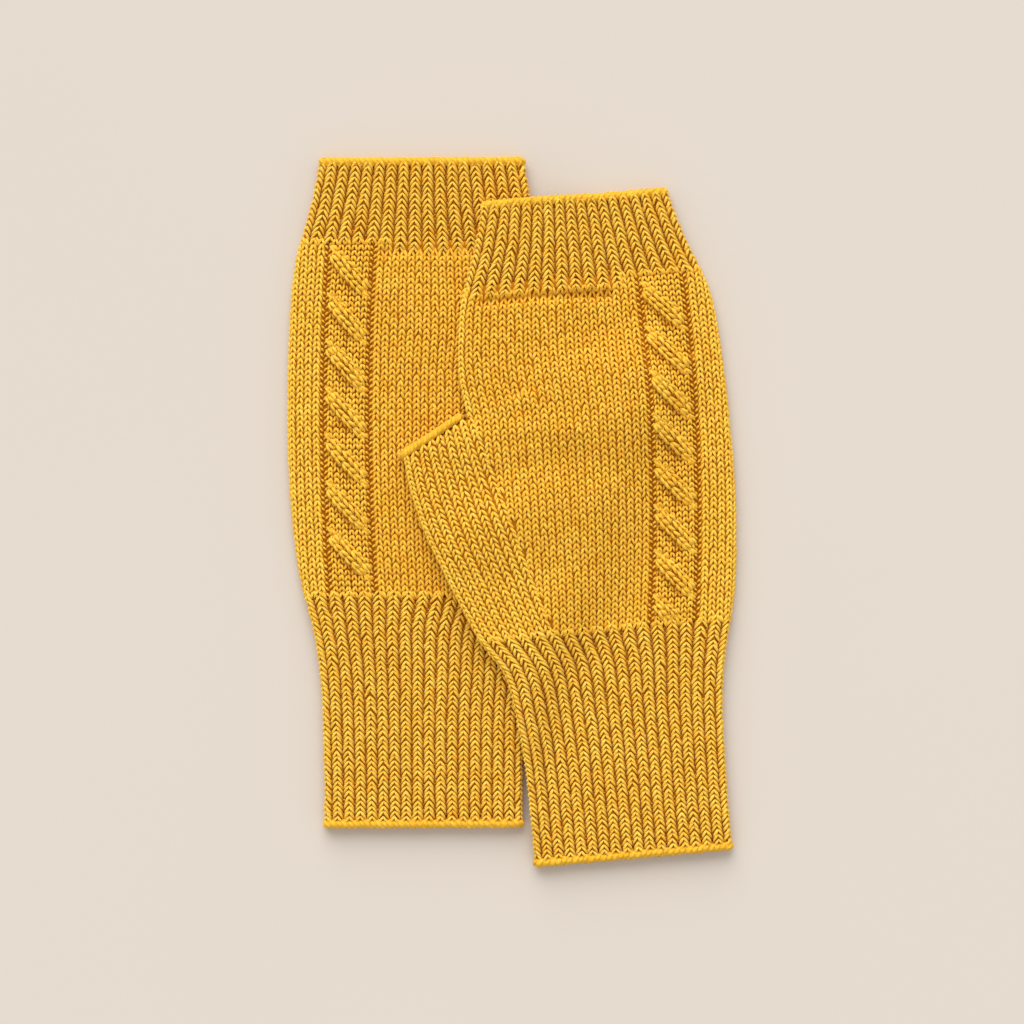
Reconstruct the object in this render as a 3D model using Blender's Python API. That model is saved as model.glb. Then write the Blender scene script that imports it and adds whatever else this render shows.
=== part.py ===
"""A pair of fingerless mittens, knitted in wool and laid flat, one partly over the other.

Each mitten is a flattened knitted tube: a long ribbed wrist, a plain hand with a rope cable
and a thumb gusset, a ribbed finger band, and rolled edges at the wrist, fingers and thumb.
The wall is about 2 mm thick, open inside, with the front and back layers lying on each other.
The two mittens are mirror images of one pattern. The upper one drapes over the lower one and
comes down to the surface beside it.

Every mitten is worked out in its own flat frame: across (towards its thumb), along (from the
wrist to the fingers) and height (above what it lies on). Units are metres, +Z is up, and the
origin is the centre of the pair on the surface.
"""

import math
from collections import namedtuple
from functools import partial

import bmesh
import bpy
from mathutils import Vector

MM = 0.001

# Where one piece ends and the next begins, measured along a mitten from the wrist
SEAM_GAP = 0.3 * MM
EDGE_TALL = 2.9 * MM
WRIST_RIB_TOP = 85.3 * MM
HAND_START = WRIST_RIB_TOP + SEAM_GAP
HAND_TOP = 215.7 * MM
LENGTH = 246.6 * MM
FINGER_EXTRA_START = 205.0 * MM

# The cloth: thickness of the whole flattened tube, of its wall, and of its rolled edges
FLAT = 5.4 * MM
WALL = 2.0 * MM
FOLD_RADIUS = FLAT / 2
ROLL_PROUD = 0.3 * MM
ROLL_DEEP = 2.5 * MM
ROLL_FLARE = 0.6 * MM

# Raised knitting on the front
RIB_COUNT = 16
RIB_CREST = 0.5 * MM
RIB_GROOVE = -0.6 * MM
RIB_PHASES = (0.0, 0.3, 0.7)
CABLE_HALF_WIDTH = 7.2 * MM
CABLE_HEIGHT = 2.1 * MM
CABLE_BED = -0.4 * MM
STRAND_LANE = 0.52
STRAND_HALF_WIDTH = 0.58
STRAND_END_HEIGHT = 0.24
CROSSING_RUN = 0.68
CHANNEL_WIDTH = 2.4 * MM
CHANNEL_DEPTH = 0.8 * MM
HAND_SWELL = 0.6 * MM
SWELL_RUN = 6.0 * MM

# The thumb: its gusset is a strip that leans out from the palm, and its opening is a slanted cut
GUSSET_FOOT_ACROSS = 22.0 * MM
CROTCH_ALONG = 167.6 * MM
THUMB_TIP_ALONG = 154.2 * MM
THUMB_EDGE_CLEAR = 1.7 * MM

# How the upper mitten comes down beside the lower one
REST_GAP = 0.45 * MM
FOLD_RISE = 0.35 * MM
LIFT = FLAT + HAND_SWELL + FOLD_RISE + REST_GAP
DRAPE_MARGIN = 1.0 * MM
DRAPE_NEAR_FINGERS = 26.0 * MM
DRAPE_AT_WRIST = 5.0 * MM
DRAPE_WRIST_ALONG = 10.0 * MM
DRAPE_FULL_ALONG = 95.0 * MM
DRAPE_SOFTEN = 4.0 * MM

# Mesh density. A plain line up the hand has rows below the crotch and rows above it.
CABLE_ROWS = 64
OUTER_ROWS = (12, 7)
INNER_ROWS = (5, 4)
GUSSET_COLUMNS = 5
INNER_GUSSET_COLUMNS = 3
PLAIN_COLUMNS = 7
RIB_ROWS = 10
RIB_CROWD = 1.6
FINGER_RIB_ROWS = 5
RIB_BACK_COLUMNS = 15
FOLD_ANGLES = (45.0, 0.0, -45.0)
ROLL_SIDES = 6
ROLL_STEP = 6.0 * MM
OUTLINE_POINTS = 24

# The outline of one mitten, a row for each section. Distances are from its middle line to the
# folded side by the cable and to the folded side by the thumb. The thumb is in the rows up to
# its tip, and the rows from the crotch up give the side of the hand.
Section = namedtuple("Section", "along cable_side thumb_side")
WITH_THUMB = (
    Section(0.0 * MM, 36.6 * MM, 36.7 * MM),
    Section(20.0 * MM, 36.6 * MM, 36.7 * MM),
    Section(40.0 * MM, 37.1 * MM, 37.2 * MM),
    Section(55.0 * MM, 37.9 * MM, 38.6 * MM),
    Section(66.0 * MM, 39.2 * MM, 40.0 * MM),
    Section(74.0 * MM, 40.7 * MM, 42.3 * MM),
    Section(80.0 * MM, 42.2 * MM, 46.2 * MM),
    Section(86.0 * MM, 43.8 * MM, 50.2 * MM),
    Section(98.0 * MM, 46.2 * MM, 55.6 * MM),
    Section(112.0 * MM, 47.9 * MM, 61.1 * MM),
    Section(126.0 * MM, 49.0 * MM, 66.4 * MM),
    Section(142.0 * MM, 49.6 * MM, 70.4 * MM),
    Section(154.0 * MM, 49.6 * MM, 71.9 * MM),
)
ABOVE_THUMB = (
    Section(165.0 * MM, 49.5 * MM, 46.9 * MM),
    Section(171.0 * MM, 49.4 * MM, 47.6 * MM),
    Section(184.0 * MM, 48.8 * MM, 49.0 * MM),
    Section(197.0 * MM, 48.0 * MM, 48.0 * MM),
    Section(208.0 * MM, 46.3 * MM, 46.4 * MM),
    Section(216.0 * MM, 43.6 * MM, 43.8 * MM),
    Section(230.0 * MM, 38.5 * MM, 38.6 * MM),
    Section(246.6 * MM, 33.6 * MM, 34.2 * MM),
)

# The lines that run up the hand's front layer: what each lies on, and its share across that.
# Over the cable and its channels a share runs from -1 to 1.
Column = namedtuple("Column", "on share")
RAISED_COLUMNS = (
    [Column("side", i / 2) for i in range(3)]
    + [Column("channel", -1.0)]
    + [Column("cable", -1.0 + i / 4) for i in range(9)]
    + [Column("channel", 1.0)]
    + [Column("palm", i / (PLAIN_COLUMNS - 1)) for i in range(PLAIN_COLUMNS)]
)
EVEN_COLUMNS = [Column("even", i / (PLAIN_COLUMNS - 1)) for i in range(PLAIN_COLUMNS)]

# One side of the hand's wall: lists of lines of vertices, and the crotch's row in a palm line
HandWall = namedtuple("HandWall", "front front_gusset back back_gusset upper_fold thumb_fold "
                                  "near_fold crotch")

# Each mitten's own place and differences. Lean turns it about its wrist, anticlockwise from
# above. Stretch is how much longer it lies than the pattern. The cable runs from its place at the
# cuff to its place at the finger band, and bows away from the straight line between them.
Mitten = namedtuple("Mitten", "name wrist_x wrist_y lean thumb_to stretch finger_extra "
                              "cable_low cable_high cable_bow crossing first_crossing")
UNDER = Mitten("under", -32.83 * MM, -116.95 * MM, 0.2, 1, 1.007, 3.6 * MM,
               -26.0 * MM, -25.8 * MM, -2.2 * MM, 17.27 * MM, 204.4 * MM)
OVER = Mitten("over", 45.17 * MM, -128.35 * MM, 5.08, -1, 1.0, 0.0 * MM,
              -22.2 * MM, -28.7 * MM, -2.8 * MM, 16.55 * MM, 202.8 * MM)

# Soft folds in the top layer of the hand, a row for each: ridges have a height above zero
Fold = namedtuple("Fold", "across_from along_from across_to along_to half_width height")
FOLDS = {
    "under": (
        Fold(46.0 * MM, 166.0 * MM, -10.0 * MM, 196.0 * MM, 13.0 * MM, 0.35 * MM),
        Fold(64.0 * MM, 142.0 * MM, -6.0 * MM, 160.0 * MM, 12.0 * MM, -0.4 * MM),
        Fold(30.0 * MM, 96.0 * MM, -8.0 * MM, 128.0 * MM, 12.0 * MM, 0.35 * MM),
    ),
    "over": (
        Fold(64.0 * MM, 158.0 * MM, 6.0 * MM, 190.0 * MM, 11.0 * MM, 0.6 * MM),
        Fold(62.0 * MM, 145.0 * MM, 18.0 * MM, 168.0 * MM, 9.0 * MM, -0.6 * MM),
        Fold(52.0 * MM, 120.0 * MM, -2.0 * MM, 168.0 * MM, 12.0 * MM, 0.5 * MM),
        Fold(24.0 * MM, 104.0 * MM, -10.0 * MM, 146.0 * MM, 14.0 * MM, -0.5 * MM),
    ),
}

# Linear colours of the wool, lighter where an edge rolls
WOOL_HAND = (0.78, 0.42, 0.045, 1.0)
WOOL_RIB = (0.72, 0.37, 0.035, 1.0)
WOOL_EDGE = (0.86, 0.50, 0.06, 1.0)
WOOL_ROUGHNESS = 0.95


def smooth(t):
    """Rise from 0 to 1 with level ends."""
    t = min(max(t, 0.0), 1.0)
    return t * t * (3 - 2 * t)


def blend(a, b, t):
    """The value a share t of the way from a to b."""
    return a + (b - a) * t


def read_table(rows, along, column):
    """Read one column of an outline table at a place along the mitten, as a smooth curve."""
    if along <= rows[0].along:
        return getattr(rows[0], column)
    if along >= rows[-1].along:
        return getattr(rows[-1], column)
    at = max(i for i, row in enumerate(rows) if row.along <= along)
    near = rows[max(at - 1, 0)], rows[at], rows[at + 1], rows[min(at + 2, len(rows) - 1)]
    value = [getattr(row, column) for row in near]
    span = near[2].along - near[1].along
    t = (along - near[1].along) / span
    slope_in = (value[2] - value[0]) / (near[2].along - near[0].along) * span
    slope_out = (value[3] - value[1]) / (near[3].along - near[1].along) * span
    rise = value[2] - value[1]
    bend = 3 * rise - 2 * slope_in - slope_out
    twist = slope_in + slope_out - 2 * rise
    return value[1] + t * (slope_in + t * (bend + t * twist))


def finger_extra(mitten, along):
    """How much wider this mitten's finger end lies than the pattern."""
    share = (along - FINGER_EXTRA_START) / (LENGTH - FINGER_EXTRA_START)
    return mitten.finger_extra * min(max(share, 0.0), 1.0)


def cable_side(mitten, along):
    """Distance from the middle line to the fold beside the cable."""
    return read_table(WITH_THUMB + ABOVE_THUMB, along, "cable_side") + finger_extra(mitten, along)


def hand_side(mitten, along):
    """Distance from the middle line to the fold at the hand's thumb side, the thumb left out."""
    return read_table(ABOVE_THUMB, along, "thumb_side") + finger_extra(mitten, along)


def thumb_side(along):
    """Distance from the middle line to the outer fold, with the thumb."""
    return read_table(WITH_THUMB, along, "thumb_side")


def crotch_across(mitten):
    """Where the front layer ends above the thumb, at the crotch."""
    return hand_side(mitten, CROTCH_ALONG) - FOLD_RADIUS


def gusset_line(mitten, along):
    """The inner side of the thumb gusset, from its foot at the cuff up to the crotch."""
    t = (along - WRIST_RIB_TOP) / (CROTCH_ALONG - WRIST_RIB_TOP)
    return blend(GUSSET_FOOT_ACROSS, crotch_across(mitten), t)


def thumb_edge_line(mitten):
    """The crotch and tip ends of the thumb opening's outer line, past its rolled edge."""
    crotch = Vector((hand_side(mitten, CROTCH_ALONG), CROTCH_ALONG))
    tip = Vector((thumb_side(THUMB_TIP_ALONG), THUMB_TIP_ALONG))
    ahead = (tip - crotch).normalized()
    outward = Vector((-ahead.y, ahead.x)) * (SEAM_GAP + EDGE_TALL)
    return crotch + outward, tip + outward


def to_world(mitten, across, along):
    """Turn a place in a mitten's flat frame into the pair's X and Y."""
    lean = math.radians(mitten.lean)
    side = across * mitten.thumb_to
    ahead = along * mitten.stretch
    x = mitten.wrist_x + side * math.cos(lean) - ahead * math.sin(lean)
    y = mitten.wrist_y + side * math.sin(lean) + ahead * math.cos(lean)
    return x, y


def from_world(mitten, x, y):
    """Turn the pair's X and Y into a place in a mitten's flat frame."""
    lean = math.radians(mitten.lean)
    dx, dy = x - mitten.wrist_x, y - mitten.wrist_y
    side = dx * math.cos(lean) + dy * math.sin(lean)
    ahead = dy * math.cos(lean) - dx * math.sin(lean)
    return side * mitten.thumb_to, ahead / mitten.stretch


def stations(start, end, count, crowd=1.0):
    """Places from start to end, closer together near the end where crowd is over 1."""
    return [blend(start, end, 1 - (1 - i / (count - 1)) ** crowd) for i in range(count)]


def outline_points(mitten):
    """The flat outline of a whole mitten, once round."""
    low = stations(0.0, THUMB_TIP_ALONG, OUTLINE_POINTS)
    high = stations(CROTCH_ALONG, LENGTH, OUTLINE_POINTS)
    thumb = [(thumb_side(along), along) for along in low] + [tuple(thumb_edge_line(mitten)[1])]
    hand = [tuple(thumb_edge_line(mitten)[0])] + [(hand_side(mitten, along), along) for along in high]
    cable = [(-cable_side(mitten, along), along) for along in reversed(low + high)]
    return thumb + hand + cable


LOWER_OUTLINE = outline_points(UNDER)


def distance_outside(outline, across, along):
    """How far a place lies outside a closed outline, or 0 inside it."""
    inside = False
    nearest = math.inf
    for (ax, ay), (bx, by) in zip(outline, outline[1:] + outline[:1]):
        if (ay > along) != (by > along) and across < ax + (along - ay) * (bx - ax) / (by - ay):
            inside = not inside
        ux, uy = bx - ax, by - ay
        length_squared = ux * ux + uy * uy
        t = 0.0
        if length_squared > 0:
            t = min(max(((across - ax) * ux + (along - ay) * uy) / length_squared, 0.0), 1.0)
        nearest = min(nearest, math.hypot(ax + t * ux - across, ay + t * uy - along))
    return 0.0 if inside else nearest


def drape_at(x, y):
    """Height of the upper mitten's underside at one place, sharp at the lower one's corners."""
    across, along = from_world(UNDER, x, y)
    outside = max(distance_outside(LOWER_OUTLINE, across, along) - DRAPE_MARGIN, 0.0)
    share = (along - DRAPE_WRIST_ALONG) / (DRAPE_FULL_ALONG - DRAPE_WRIST_ALONG)
    run = blend(DRAPE_AT_WRIST, DRAPE_NEAR_FINGERS, smooth(share))
    return LIFT * (1 - smooth(outside / run))


def base_height(mitten, x, y):
    """Height of what a mitten lies on."""
    if mitten is UNDER:
        return 0.0
    shifts = (-DRAPE_SOFTEN, 0.0, DRAPE_SOFTEN)
    return sum(drape_at(x + dx, y + dy) for dx in shifts for dy in shifts) / len(shifts) ** 2


def place(mitten, across, along, height):
    """A point of a mitten in the pair's frame, draped on what it lies on."""
    x, y = to_world(mitten, across, along)
    return Vector((x, y, base_height(mitten, x, y) + height))


def fold_relief(mitten, across, along):
    """Height of the soft folds in the hand's top layer."""
    total = 0.0
    for fold in FOLDS[mitten.name]:
        run = Vector((fold.across_to - fold.across_from, fold.along_to - fold.along_from))
        spot = Vector((across - fold.across_from, along - fold.along_from))
        t = min(max(spot.dot(run) / run.length_squared, 0.0), 1.0)
        away = (spot - run * t).length / fold.half_width
        total += fold.height * (1 - smooth(away))
    return total


def hand_height(mitten, across, along):
    """Height of the hand's front layer over the flat tube, before the cable is added."""
    side = cable_side(mitten, along)
    if across > 0:
        side = thumb_side(along) if along <= CROTCH_ALONG else hand_side(mitten, along)
    from_end = min(along - HAND_START, HAND_TOP - along)
    from_side = side - FOLD_RADIUS - abs(across)
    rise = smooth(from_end / SWELL_RUN) * smooth(from_side / SWELL_RUN)
    return rise * (HAND_SWELL + fold_relief(mitten, across, along))


def cable_middle(mitten, along):
    """Where the cable's middle lies across the mitten."""
    t = (along - WRIST_RIB_TOP) / (HAND_TOP - WRIST_RIB_TOP)
    return blend(mitten.cable_low, mitten.cable_high, t) + mitten.cable_bow * 4 * t * (1 - t)


def strand_height(mitten, share, along, crossing):
    """Height of one strand of the cable, from where it comes up to where it dives under.

    From the fingers down, a strand rises on the left, crosses over the cable's middle and goes
    under on the right, on both mittens.
    """
    turns = (mitten.first_crossing - crossing * mitten.crossing - along) / mitten.crossing
    if abs(turns) > 1.0:
        return 0.0
    middle = mitten.thumb_to * blend(-STRAND_LANE, STRAND_LANE, smooth(turns / CROSSING_RUN + 0.5))
    away = (share - middle) / STRAND_HALF_WIDTH
    if abs(away) >= 1.0:
        return 0.0
    crown = blend(STRAND_END_HEIGHT, 1.0, 0.5 + 0.5 * math.cos(math.pi * turns))
    return crown * math.sqrt(1 - away * away)


def cable_relief(mitten, share, along):
    """Height of the rope cable: the highest of the strands that cross at this place."""
    crossings = int((HAND_TOP - WRIST_RIB_TOP) / mitten.crossing) + 2
    top = max(strand_height(mitten, share, along, crossing) for crossing in range(-1, crossings))
    ends = smooth(min(along - WRIST_RIB_TOP, HAND_TOP - along) / SWELL_RUN)
    return blend(-CHANNEL_DEPTH, CABLE_BED + top * CABLE_HEIGHT, ends)


def make_line(mesh, mitten, points):
    """Add a line of vertices for points given as across, along and height."""
    return [mesh.verts.new(place(mitten, *point)) for point in points]


def shares_of_length(line):
    """How far along its line each vertex lies, from 0 to 1."""
    total = [0.0]
    for a, b in zip(line, line[1:]):
        total.append(total[-1] + (b.co - a.co).length)
    return [value / total[-1] for value in total]


def bridge(mesh, line_a, line_b):
    """Join two lines of vertices with triangles, whatever their counts."""
    share_a, share_b = shares_of_length(line_a), shares_of_length(line_b)
    i = j = 0
    while i < len(line_a) - 1 or j < len(line_b) - 1:
        step_a = j == len(line_b) - 1 or (i < len(line_a) - 1 and share_a[i + 1] <= share_b[j + 1])
        if step_a:
            mesh.faces.new((line_a[i], line_a[i + 1], line_b[j]))
            i += 1
        else:
            mesh.faces.new((line_a[i], line_b[j + 1], line_b[j]))
            j += 1


def bridge_all(mesh, lines, closed=False):
    """Join each line of a list to the next."""
    pairs = list(zip(lines, lines[1:]))
    if closed:
        pairs.append((lines[-1], lines[0]))
    for line_a, line_b in pairs:
        bridge(mesh, line_a, line_b)


def fold_lines(mesh, mitten, side, rows, radius, turned=1):
    """Lines of vertices round a folded side, from the front layer to the back one."""
    angles = FOLD_ANGLES if radius == FOLD_RADIUS else FOLD_ANGLES[1:2]
    lines = []
    for angle in angles:
        out, up = radius * math.cos(math.radians(angle)), radius * math.sin(math.radians(angle))
        points = [(turned * (side(along) - FOLD_RADIUS + out), along, FOLD_RADIUS + up) for along in rows]
        lines.append(make_line(mesh, mitten, points))
    return lines


def wool(name, colour):
    """A dry woollen finish of one colour."""
    material = bpy.data.materials.new(name)
    material.use_nodes = True
    shader = material.node_tree.nodes["Principled BSDF"]
    shader.inputs["Base Color"].default_value = colour
    shader.inputs["Roughness"].default_value = WOOL_ROUGHNESS
    shader.inputs["Metallic"].default_value = 0.0
    return material


def finish(mesh, name, colour):
    """Turn the faces outwards and put the piece in the scene with its own material."""
    bmesh.ops.recalc_face_normals(mesh, faces=mesh.faces)
    data = bpy.data.meshes.new(name)
    mesh.to_mesh(data)
    mesh.free()
    data.shade_smooth()
    data.materials.append(wool(name + "_wool", colour))
    piece = bpy.data.objects.new(name, data)
    bpy.context.scene.collection.objects.link(piece)
    return piece


def layer_line(mitten, side, rows, share, height):
    """Points up a tube at a share of the way from the cable's fold to the other one."""
    points = []
    for along in rows:
        across = blend(FOLD_RADIUS - cable_side(mitten, along), side(along) - FOLD_RADIUS, share)
        points.append((across, along, height))
    return points


def rib_front(mitten, side, rows):
    """Points of a ribbed front layer, a list for each line along the ribs."""
    lines = []
    for rib in range(RIB_COUNT):
        for phase in RIB_PHASES:
            raised = RIB_GROOVE if phase == 0.0 else RIB_CREST
            lines.append(layer_line(mitten, side, rows, (rib + phase) / RIB_COUNT, FLAT + raised))
    lines.append(layer_line(mitten, side, rows, 1.0, FLAT + RIB_GROOVE))
    return lines


def plain_layer(mitten, side, rows, count, height):
    """Points of a plain layer, a list for each of its lines, between the two folds."""
    return [layer_line(mitten, side, rows, i / (count - 1), height) for i in range(count)]


def half_loops(front, far_fold, back, near_fold, end):
    """The front and the back half of the loop of vertices round one end of a wall.

    Each argument is a list of lines, from the cable's side to the thumb's, or round a fold from
    the front to the back. End is 0 for the lower end of the lines and -1 for the upper one.
    """
    far, near = len(far_fold) // 2, len(near_fold) // 2
    first = near_fold[near::-1] + front + far_fold[:far + 1]
    second = far_fold[far:] + back[::-1] + near_fold[near:][::-1]
    return [line[end] for line in first], [line[end] for line in second]


def close_wall(mesh, outer_halves, inner_halves):
    """Close the wall between an outer loop and an inner one, half by half."""
    for outer_half, inner_half in zip(outer_halves, inner_halves):
        bridge(mesh, outer_half, inner_half)


def make_rib(mitten, name, start, end, side, row_count, crowd):
    """A ribbed band: ribs raised on the front, a plain inside and a flat underside."""
    mesh = bmesh.new()
    rows = stations(start, end, row_count, crowd)
    outer_front = rib_front(mitten, side, rows)
    inner_front = plain_layer(mitten, side, rows, RIB_BACK_COLUMNS, FLAT - WALL)
    walls = []
    for front, inset in ((outer_front, 0.0), (inner_front, WALL)):
        front = [make_line(mesh, mitten, line) for line in front]
        back = [make_line(mesh, mitten, line)
                for line in plain_layer(mitten, side, rows, RIB_BACK_COLUMNS, inset)]
        far_fold = fold_lines(mesh, mitten, side, rows, FOLD_RADIUS - inset)
        near_fold = fold_lines(mesh, mitten, partial(cable_side, mitten), rows, FOLD_RADIUS - inset, -1)
        bridge_all(mesh, front + far_fold + back[::-1] + near_fold[::-1], closed=True)
        walls.append((front, far_fold, back, near_fold))
    for end_index in (0, -1):
        close_wall(mesh, *(half_loops(*wall, end_index) for wall in walls))
    return finish(mesh, name, WOOL_RIB)


def palm_end(mitten, along):
    """Where the palm's front layer ends: the gusset line, and above it the hand's fold."""
    if along <= CROTCH_ALONG:
        return gusset_line(mitten, along)
    return hand_side(mitten, along) - FOLD_RADIUS


def column_across(mitten, column, along):
    """Where a line up the hand lies at one place along it."""
    fold = FOLD_RADIUS - cable_side(mitten, along)
    middle = cable_middle(mitten, along)
    reach = CABLE_HALF_WIDTH + CHANNEL_WIDTH
    if column.on == "side":
        return blend(fold, middle - reach, column.share)
    if column.on == "channel":
        return middle + column.share * (CABLE_HALF_WIDTH + CHANNEL_WIDTH / 2)
    if column.on == "cable":
        return middle + column.share * CABLE_HALF_WIDTH
    if column.on == "palm":
        return blend(middle + reach, palm_end(mitten, along), column.share)
    return blend(fold, palm_end(mitten, along), column.share)


def column_line(mitten, column, rows, front, inset):
    """Points of one line up the hand, on its front or its back layer."""
    points = []
    for along in rows:
        across = column_across(mitten, column, along)
        height = inset
        if front:
            height = FLAT - inset + hand_height(mitten, across, along)
        if column.on == "channel":
            height -= CHANNEL_DEPTH
        if column.on == "cable":
            height += cable_relief(mitten, column.share, along)
        points.append((across, along, height))
    return points


def gusset_lines(mitten, row_count, count, front, inset):
    """Points of the thumb gusset, from beside the gusset line out to the thumb's fold."""
    lines = []
    for i in range(1, count + 1):
        share = i / count
        points = []
        for along in stations(HAND_START, blend(CROTCH_ALONG, THUMB_TIP_ALONG, share), row_count):
            across = blend(gusset_line(mitten, along), thumb_side(along) - FOLD_RADIUS, share)
            height = FLAT - inset + hand_height(mitten, across, along) if front else inset
            points.append((across, along, height))
        lines.append(points)
    return lines


def hand_wall(mesh, mitten, inset):
    """One side of the hand's wall, the outer one or the inner one, as lines of vertices."""
    outer = inset == 0.0
    low_count, high_count = OUTER_ROWS if outer else INNER_ROWS
    low_rows = stations(HAND_START, CROTCH_ALONG, low_count)
    high_rows = stations(CROTCH_ALONG, HAND_TOP, high_count)
    rows = low_rows + high_rows[1:]
    cable_rows = stations(HAND_START, HAND_TOP, CABLE_ROWS)
    gusset_count = GUSSET_COLUMNS if outer else INNER_GUSSET_COLUMNS
    layers = []
    for front in (True, False):
        columns = RAISED_COLUMNS if front and outer else EVEN_COLUMNS
        palm = [column_line(mitten, column, cable_rows if column.on == "cable" else rows, front, inset)
                for column in columns]
        gusset = gusset_lines(mitten, low_count, gusset_count, front, inset)
        layers.append([make_line(mesh, mitten, line) for line in palm])
        layers.append([make_line(mesh, mitten, line) for line in gusset])
    radius = FOLD_RADIUS - inset
    thumb_rows = stations(HAND_START, THUMB_TIP_ALONG, low_count)
    upper_fold = fold_lines(mesh, mitten, partial(hand_side, mitten), high_rows, radius)
    thumb_fold = fold_lines(mesh, mitten, thumb_side, thumb_rows, radius)
    near_fold = fold_lines(mesh, mitten, partial(cable_side, mitten), rows, radius, -1)
    return HandWall(*layers, upper_fold, thumb_fold, near_fold, low_count - 1)


def skin_hand_wall(mesh, wall):
    """Join the lines of one side of the hand's wall, leaving its three openings."""
    crotch = wall.crotch
    front_edge, back_edge = wall.front[-1], wall.back[-1]
    bridge_all(mesh, wall.back[:1] + wall.near_fold[::-1] + wall.front)
    bridge_all(mesh, wall.back)
    bridge_all(mesh, [front_edge[crotch:]] + wall.upper_fold + [back_edge[crotch:]])
    round_thumb = wall.front_gusset + wall.thumb_fold + wall.back_gusset[::-1]
    bridge_all(mesh, [front_edge[:crotch + 1]] + round_thumb + [back_edge[:crotch + 1]])


def thumb_loop(wall):
    """The front and the back half of the loop round the thumb's opening, from crotch to tip."""
    web, tip = len(wall.upper_fold) // 2, len(wall.thumb_fold) // 2
    first = [line[0] for line in wall.upper_fold[web::-1]] + [wall.front[-1][wall.crotch]]
    first += [line[-1] for line in wall.front_gusset + wall.thumb_fold[:tip + 1]]
    second = [line[-1] for line in wall.thumb_fold[tip:] + wall.back_gusset[::-1]]
    second += [wall.back[-1][wall.crotch]] + [line[0] for line in wall.upper_fold[web:][::-1]]
    return first, second


def make_hand(mitten):
    """The hand: a tube with a cable on its front, and a thumb gusset with a slanted opening."""
    mesh = bmesh.new()
    walls = [hand_wall(mesh, mitten, inset) for inset in (0.0, WALL)]
    for wall in walls:
        skin_hand_wall(mesh, wall)
    close_wall(mesh, *(half_loops(wall.front + wall.front_gusset, wall.thumb_fold,
                                  wall.back + wall.back_gusset, wall.near_fold, 0) for wall in walls))
    close_wall(mesh, *(half_loops(wall.front, wall.upper_fold, wall.back, wall.near_fold, -1)
                       for wall in walls))
    close_wall(mesh, *(thumb_loop(wall) for wall in walls))
    return finish(mesh, mitten.name + "_hand", WOOL_HAND)


def roll_path(length, radius):
    """Distances and angles round the flattened middle line of a rolled edge."""
    straight = length - 2 * radius
    count = max(int(straight / ROLL_STEP), 4)
    along_front = [radius + straight * i / count for i in range(count + 1)]
    path = [(distance, 90.0) for distance in along_front]
    path += [(radius + straight, angle) for angle in FOLD_ANGLES]
    path += [(distance, -90.0) for distance in reversed(along_front)]
    path += [(radius, 180.0 - angle) for angle in reversed(FOLD_ANGLES)]
    return path


def make_roll(mitten, name, start, end):
    """A rolled edge: a thick ring of knitting along a flattened opening.

    Start and end are the places, across and along, of the two outermost points of the ring's
    middle line.
    """
    mesh = bmesh.new()
    run = Vector(end) - Vector(start)
    ahead = run.normalized()
    outward = Vector((-ahead.y, ahead.x))
    radius = (FLAT + ROLL_PROUD - ROLL_DEEP) / 2
    rings = []
    for distance, angle in roll_path(run.length, radius):
        out, up = math.cos(math.radians(angle)), math.sin(math.radians(angle))
        ring = []
        for i in range(ROLL_SIDES):
            turn = 2 * math.pi * i / ROLL_SIDES
            reach = radius + ROLL_DEEP / 2 * math.cos(turn)
            spot = Vector(start) + ahead * (distance + reach * out) + outward * (EDGE_TALL / 2 * math.sin(turn))
            height = (FLAT + ROLL_PROUD) / 2 + reach * up
            ring.append(mesh.verts.new(place(mitten, spot.x, spot.y, height)))
        rings.append(ring)
    for ring, following in zip(rings, rings[1:] + rings[:1]):
        for i in range(ROLL_SIDES):
            after = (i + 1) % ROLL_SIDES
            mesh.faces.new((ring[i], ring[after], following[after], following[i]))
    return finish(mesh, name, WOOL_EDGE)


def make_edges(mitten):
    """The cast-on edge at the wrist and the bound-off edges at the fingers and the thumb."""
    inset = ROLL_DEEP / 2 - ROLL_FLARE
    low = EDGE_TALL / 2
    make_roll(mitten, mitten.name + "_wrist_edge",
              (inset - cable_side(mitten, low), low), (thumb_side(low) - inset, low))
    high = LENGTH - EDGE_TALL / 2
    make_roll(mitten, mitten.name + "_finger_edge",
              (inset - cable_side(mitten, high), high), (hand_side(mitten, high) - inset, high))
    crotch, tip = thumb_edge_line(mitten)
    ahead = (tip - crotch).normalized()
    inward = Vector((ahead.y, -ahead.x)) * EDGE_TALL / 2
    make_roll(mitten, mitten.name + "_thumb_edge",
              crotch + inward + ahead * THUMB_EDGE_CLEAR, tip + inward - ahead * inset)


def make_mitten(mitten):
    """All the pieces of one mitten."""
    make_rib(mitten, mitten.name + "_wrist_rib", EDGE_TALL + SEAM_GAP, WRIST_RIB_TOP,
             thumb_side, RIB_ROWS, RIB_CROWD)
    make_hand(mitten)
    make_rib(mitten, mitten.name + "_finger_rib", HAND_TOP + SEAM_GAP, LENGTH - EDGE_TALL - SEAM_GAP,
             partial(hand_side, mitten), FINGER_RIB_ROWS, 1.0)
    make_edges(mitten)


for leftover in list(bpy.data.objects):
    bpy.data.objects.remove(leftover, do_unlink=True)
for pattern in (UNDER, OVER):
    make_mitten(pattern)
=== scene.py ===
"""The knitting of a pair of fingerless mittens, stitch by stitch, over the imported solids.

Each mitten is a flattened tube. A thin shell of ground cloth takes the form of each solid, and
strands of yarn lie on it as the loops of the knitting do: plain stitches on the hand, one by one
rib at the wrist and fingers, a rope cable between two purl channels, and rolled edges.

A place on a mitten is given in its own flat frame: across (towards its thumb), along (from the
wrist to the fingers) and out (away from the inside of the tube). Units are metres, +Z is up, and
the origin is the centre of the pair on the surface that it lies on.
"""

import logging
import math
from dataclasses import dataclass, field
from enum import Enum

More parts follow.
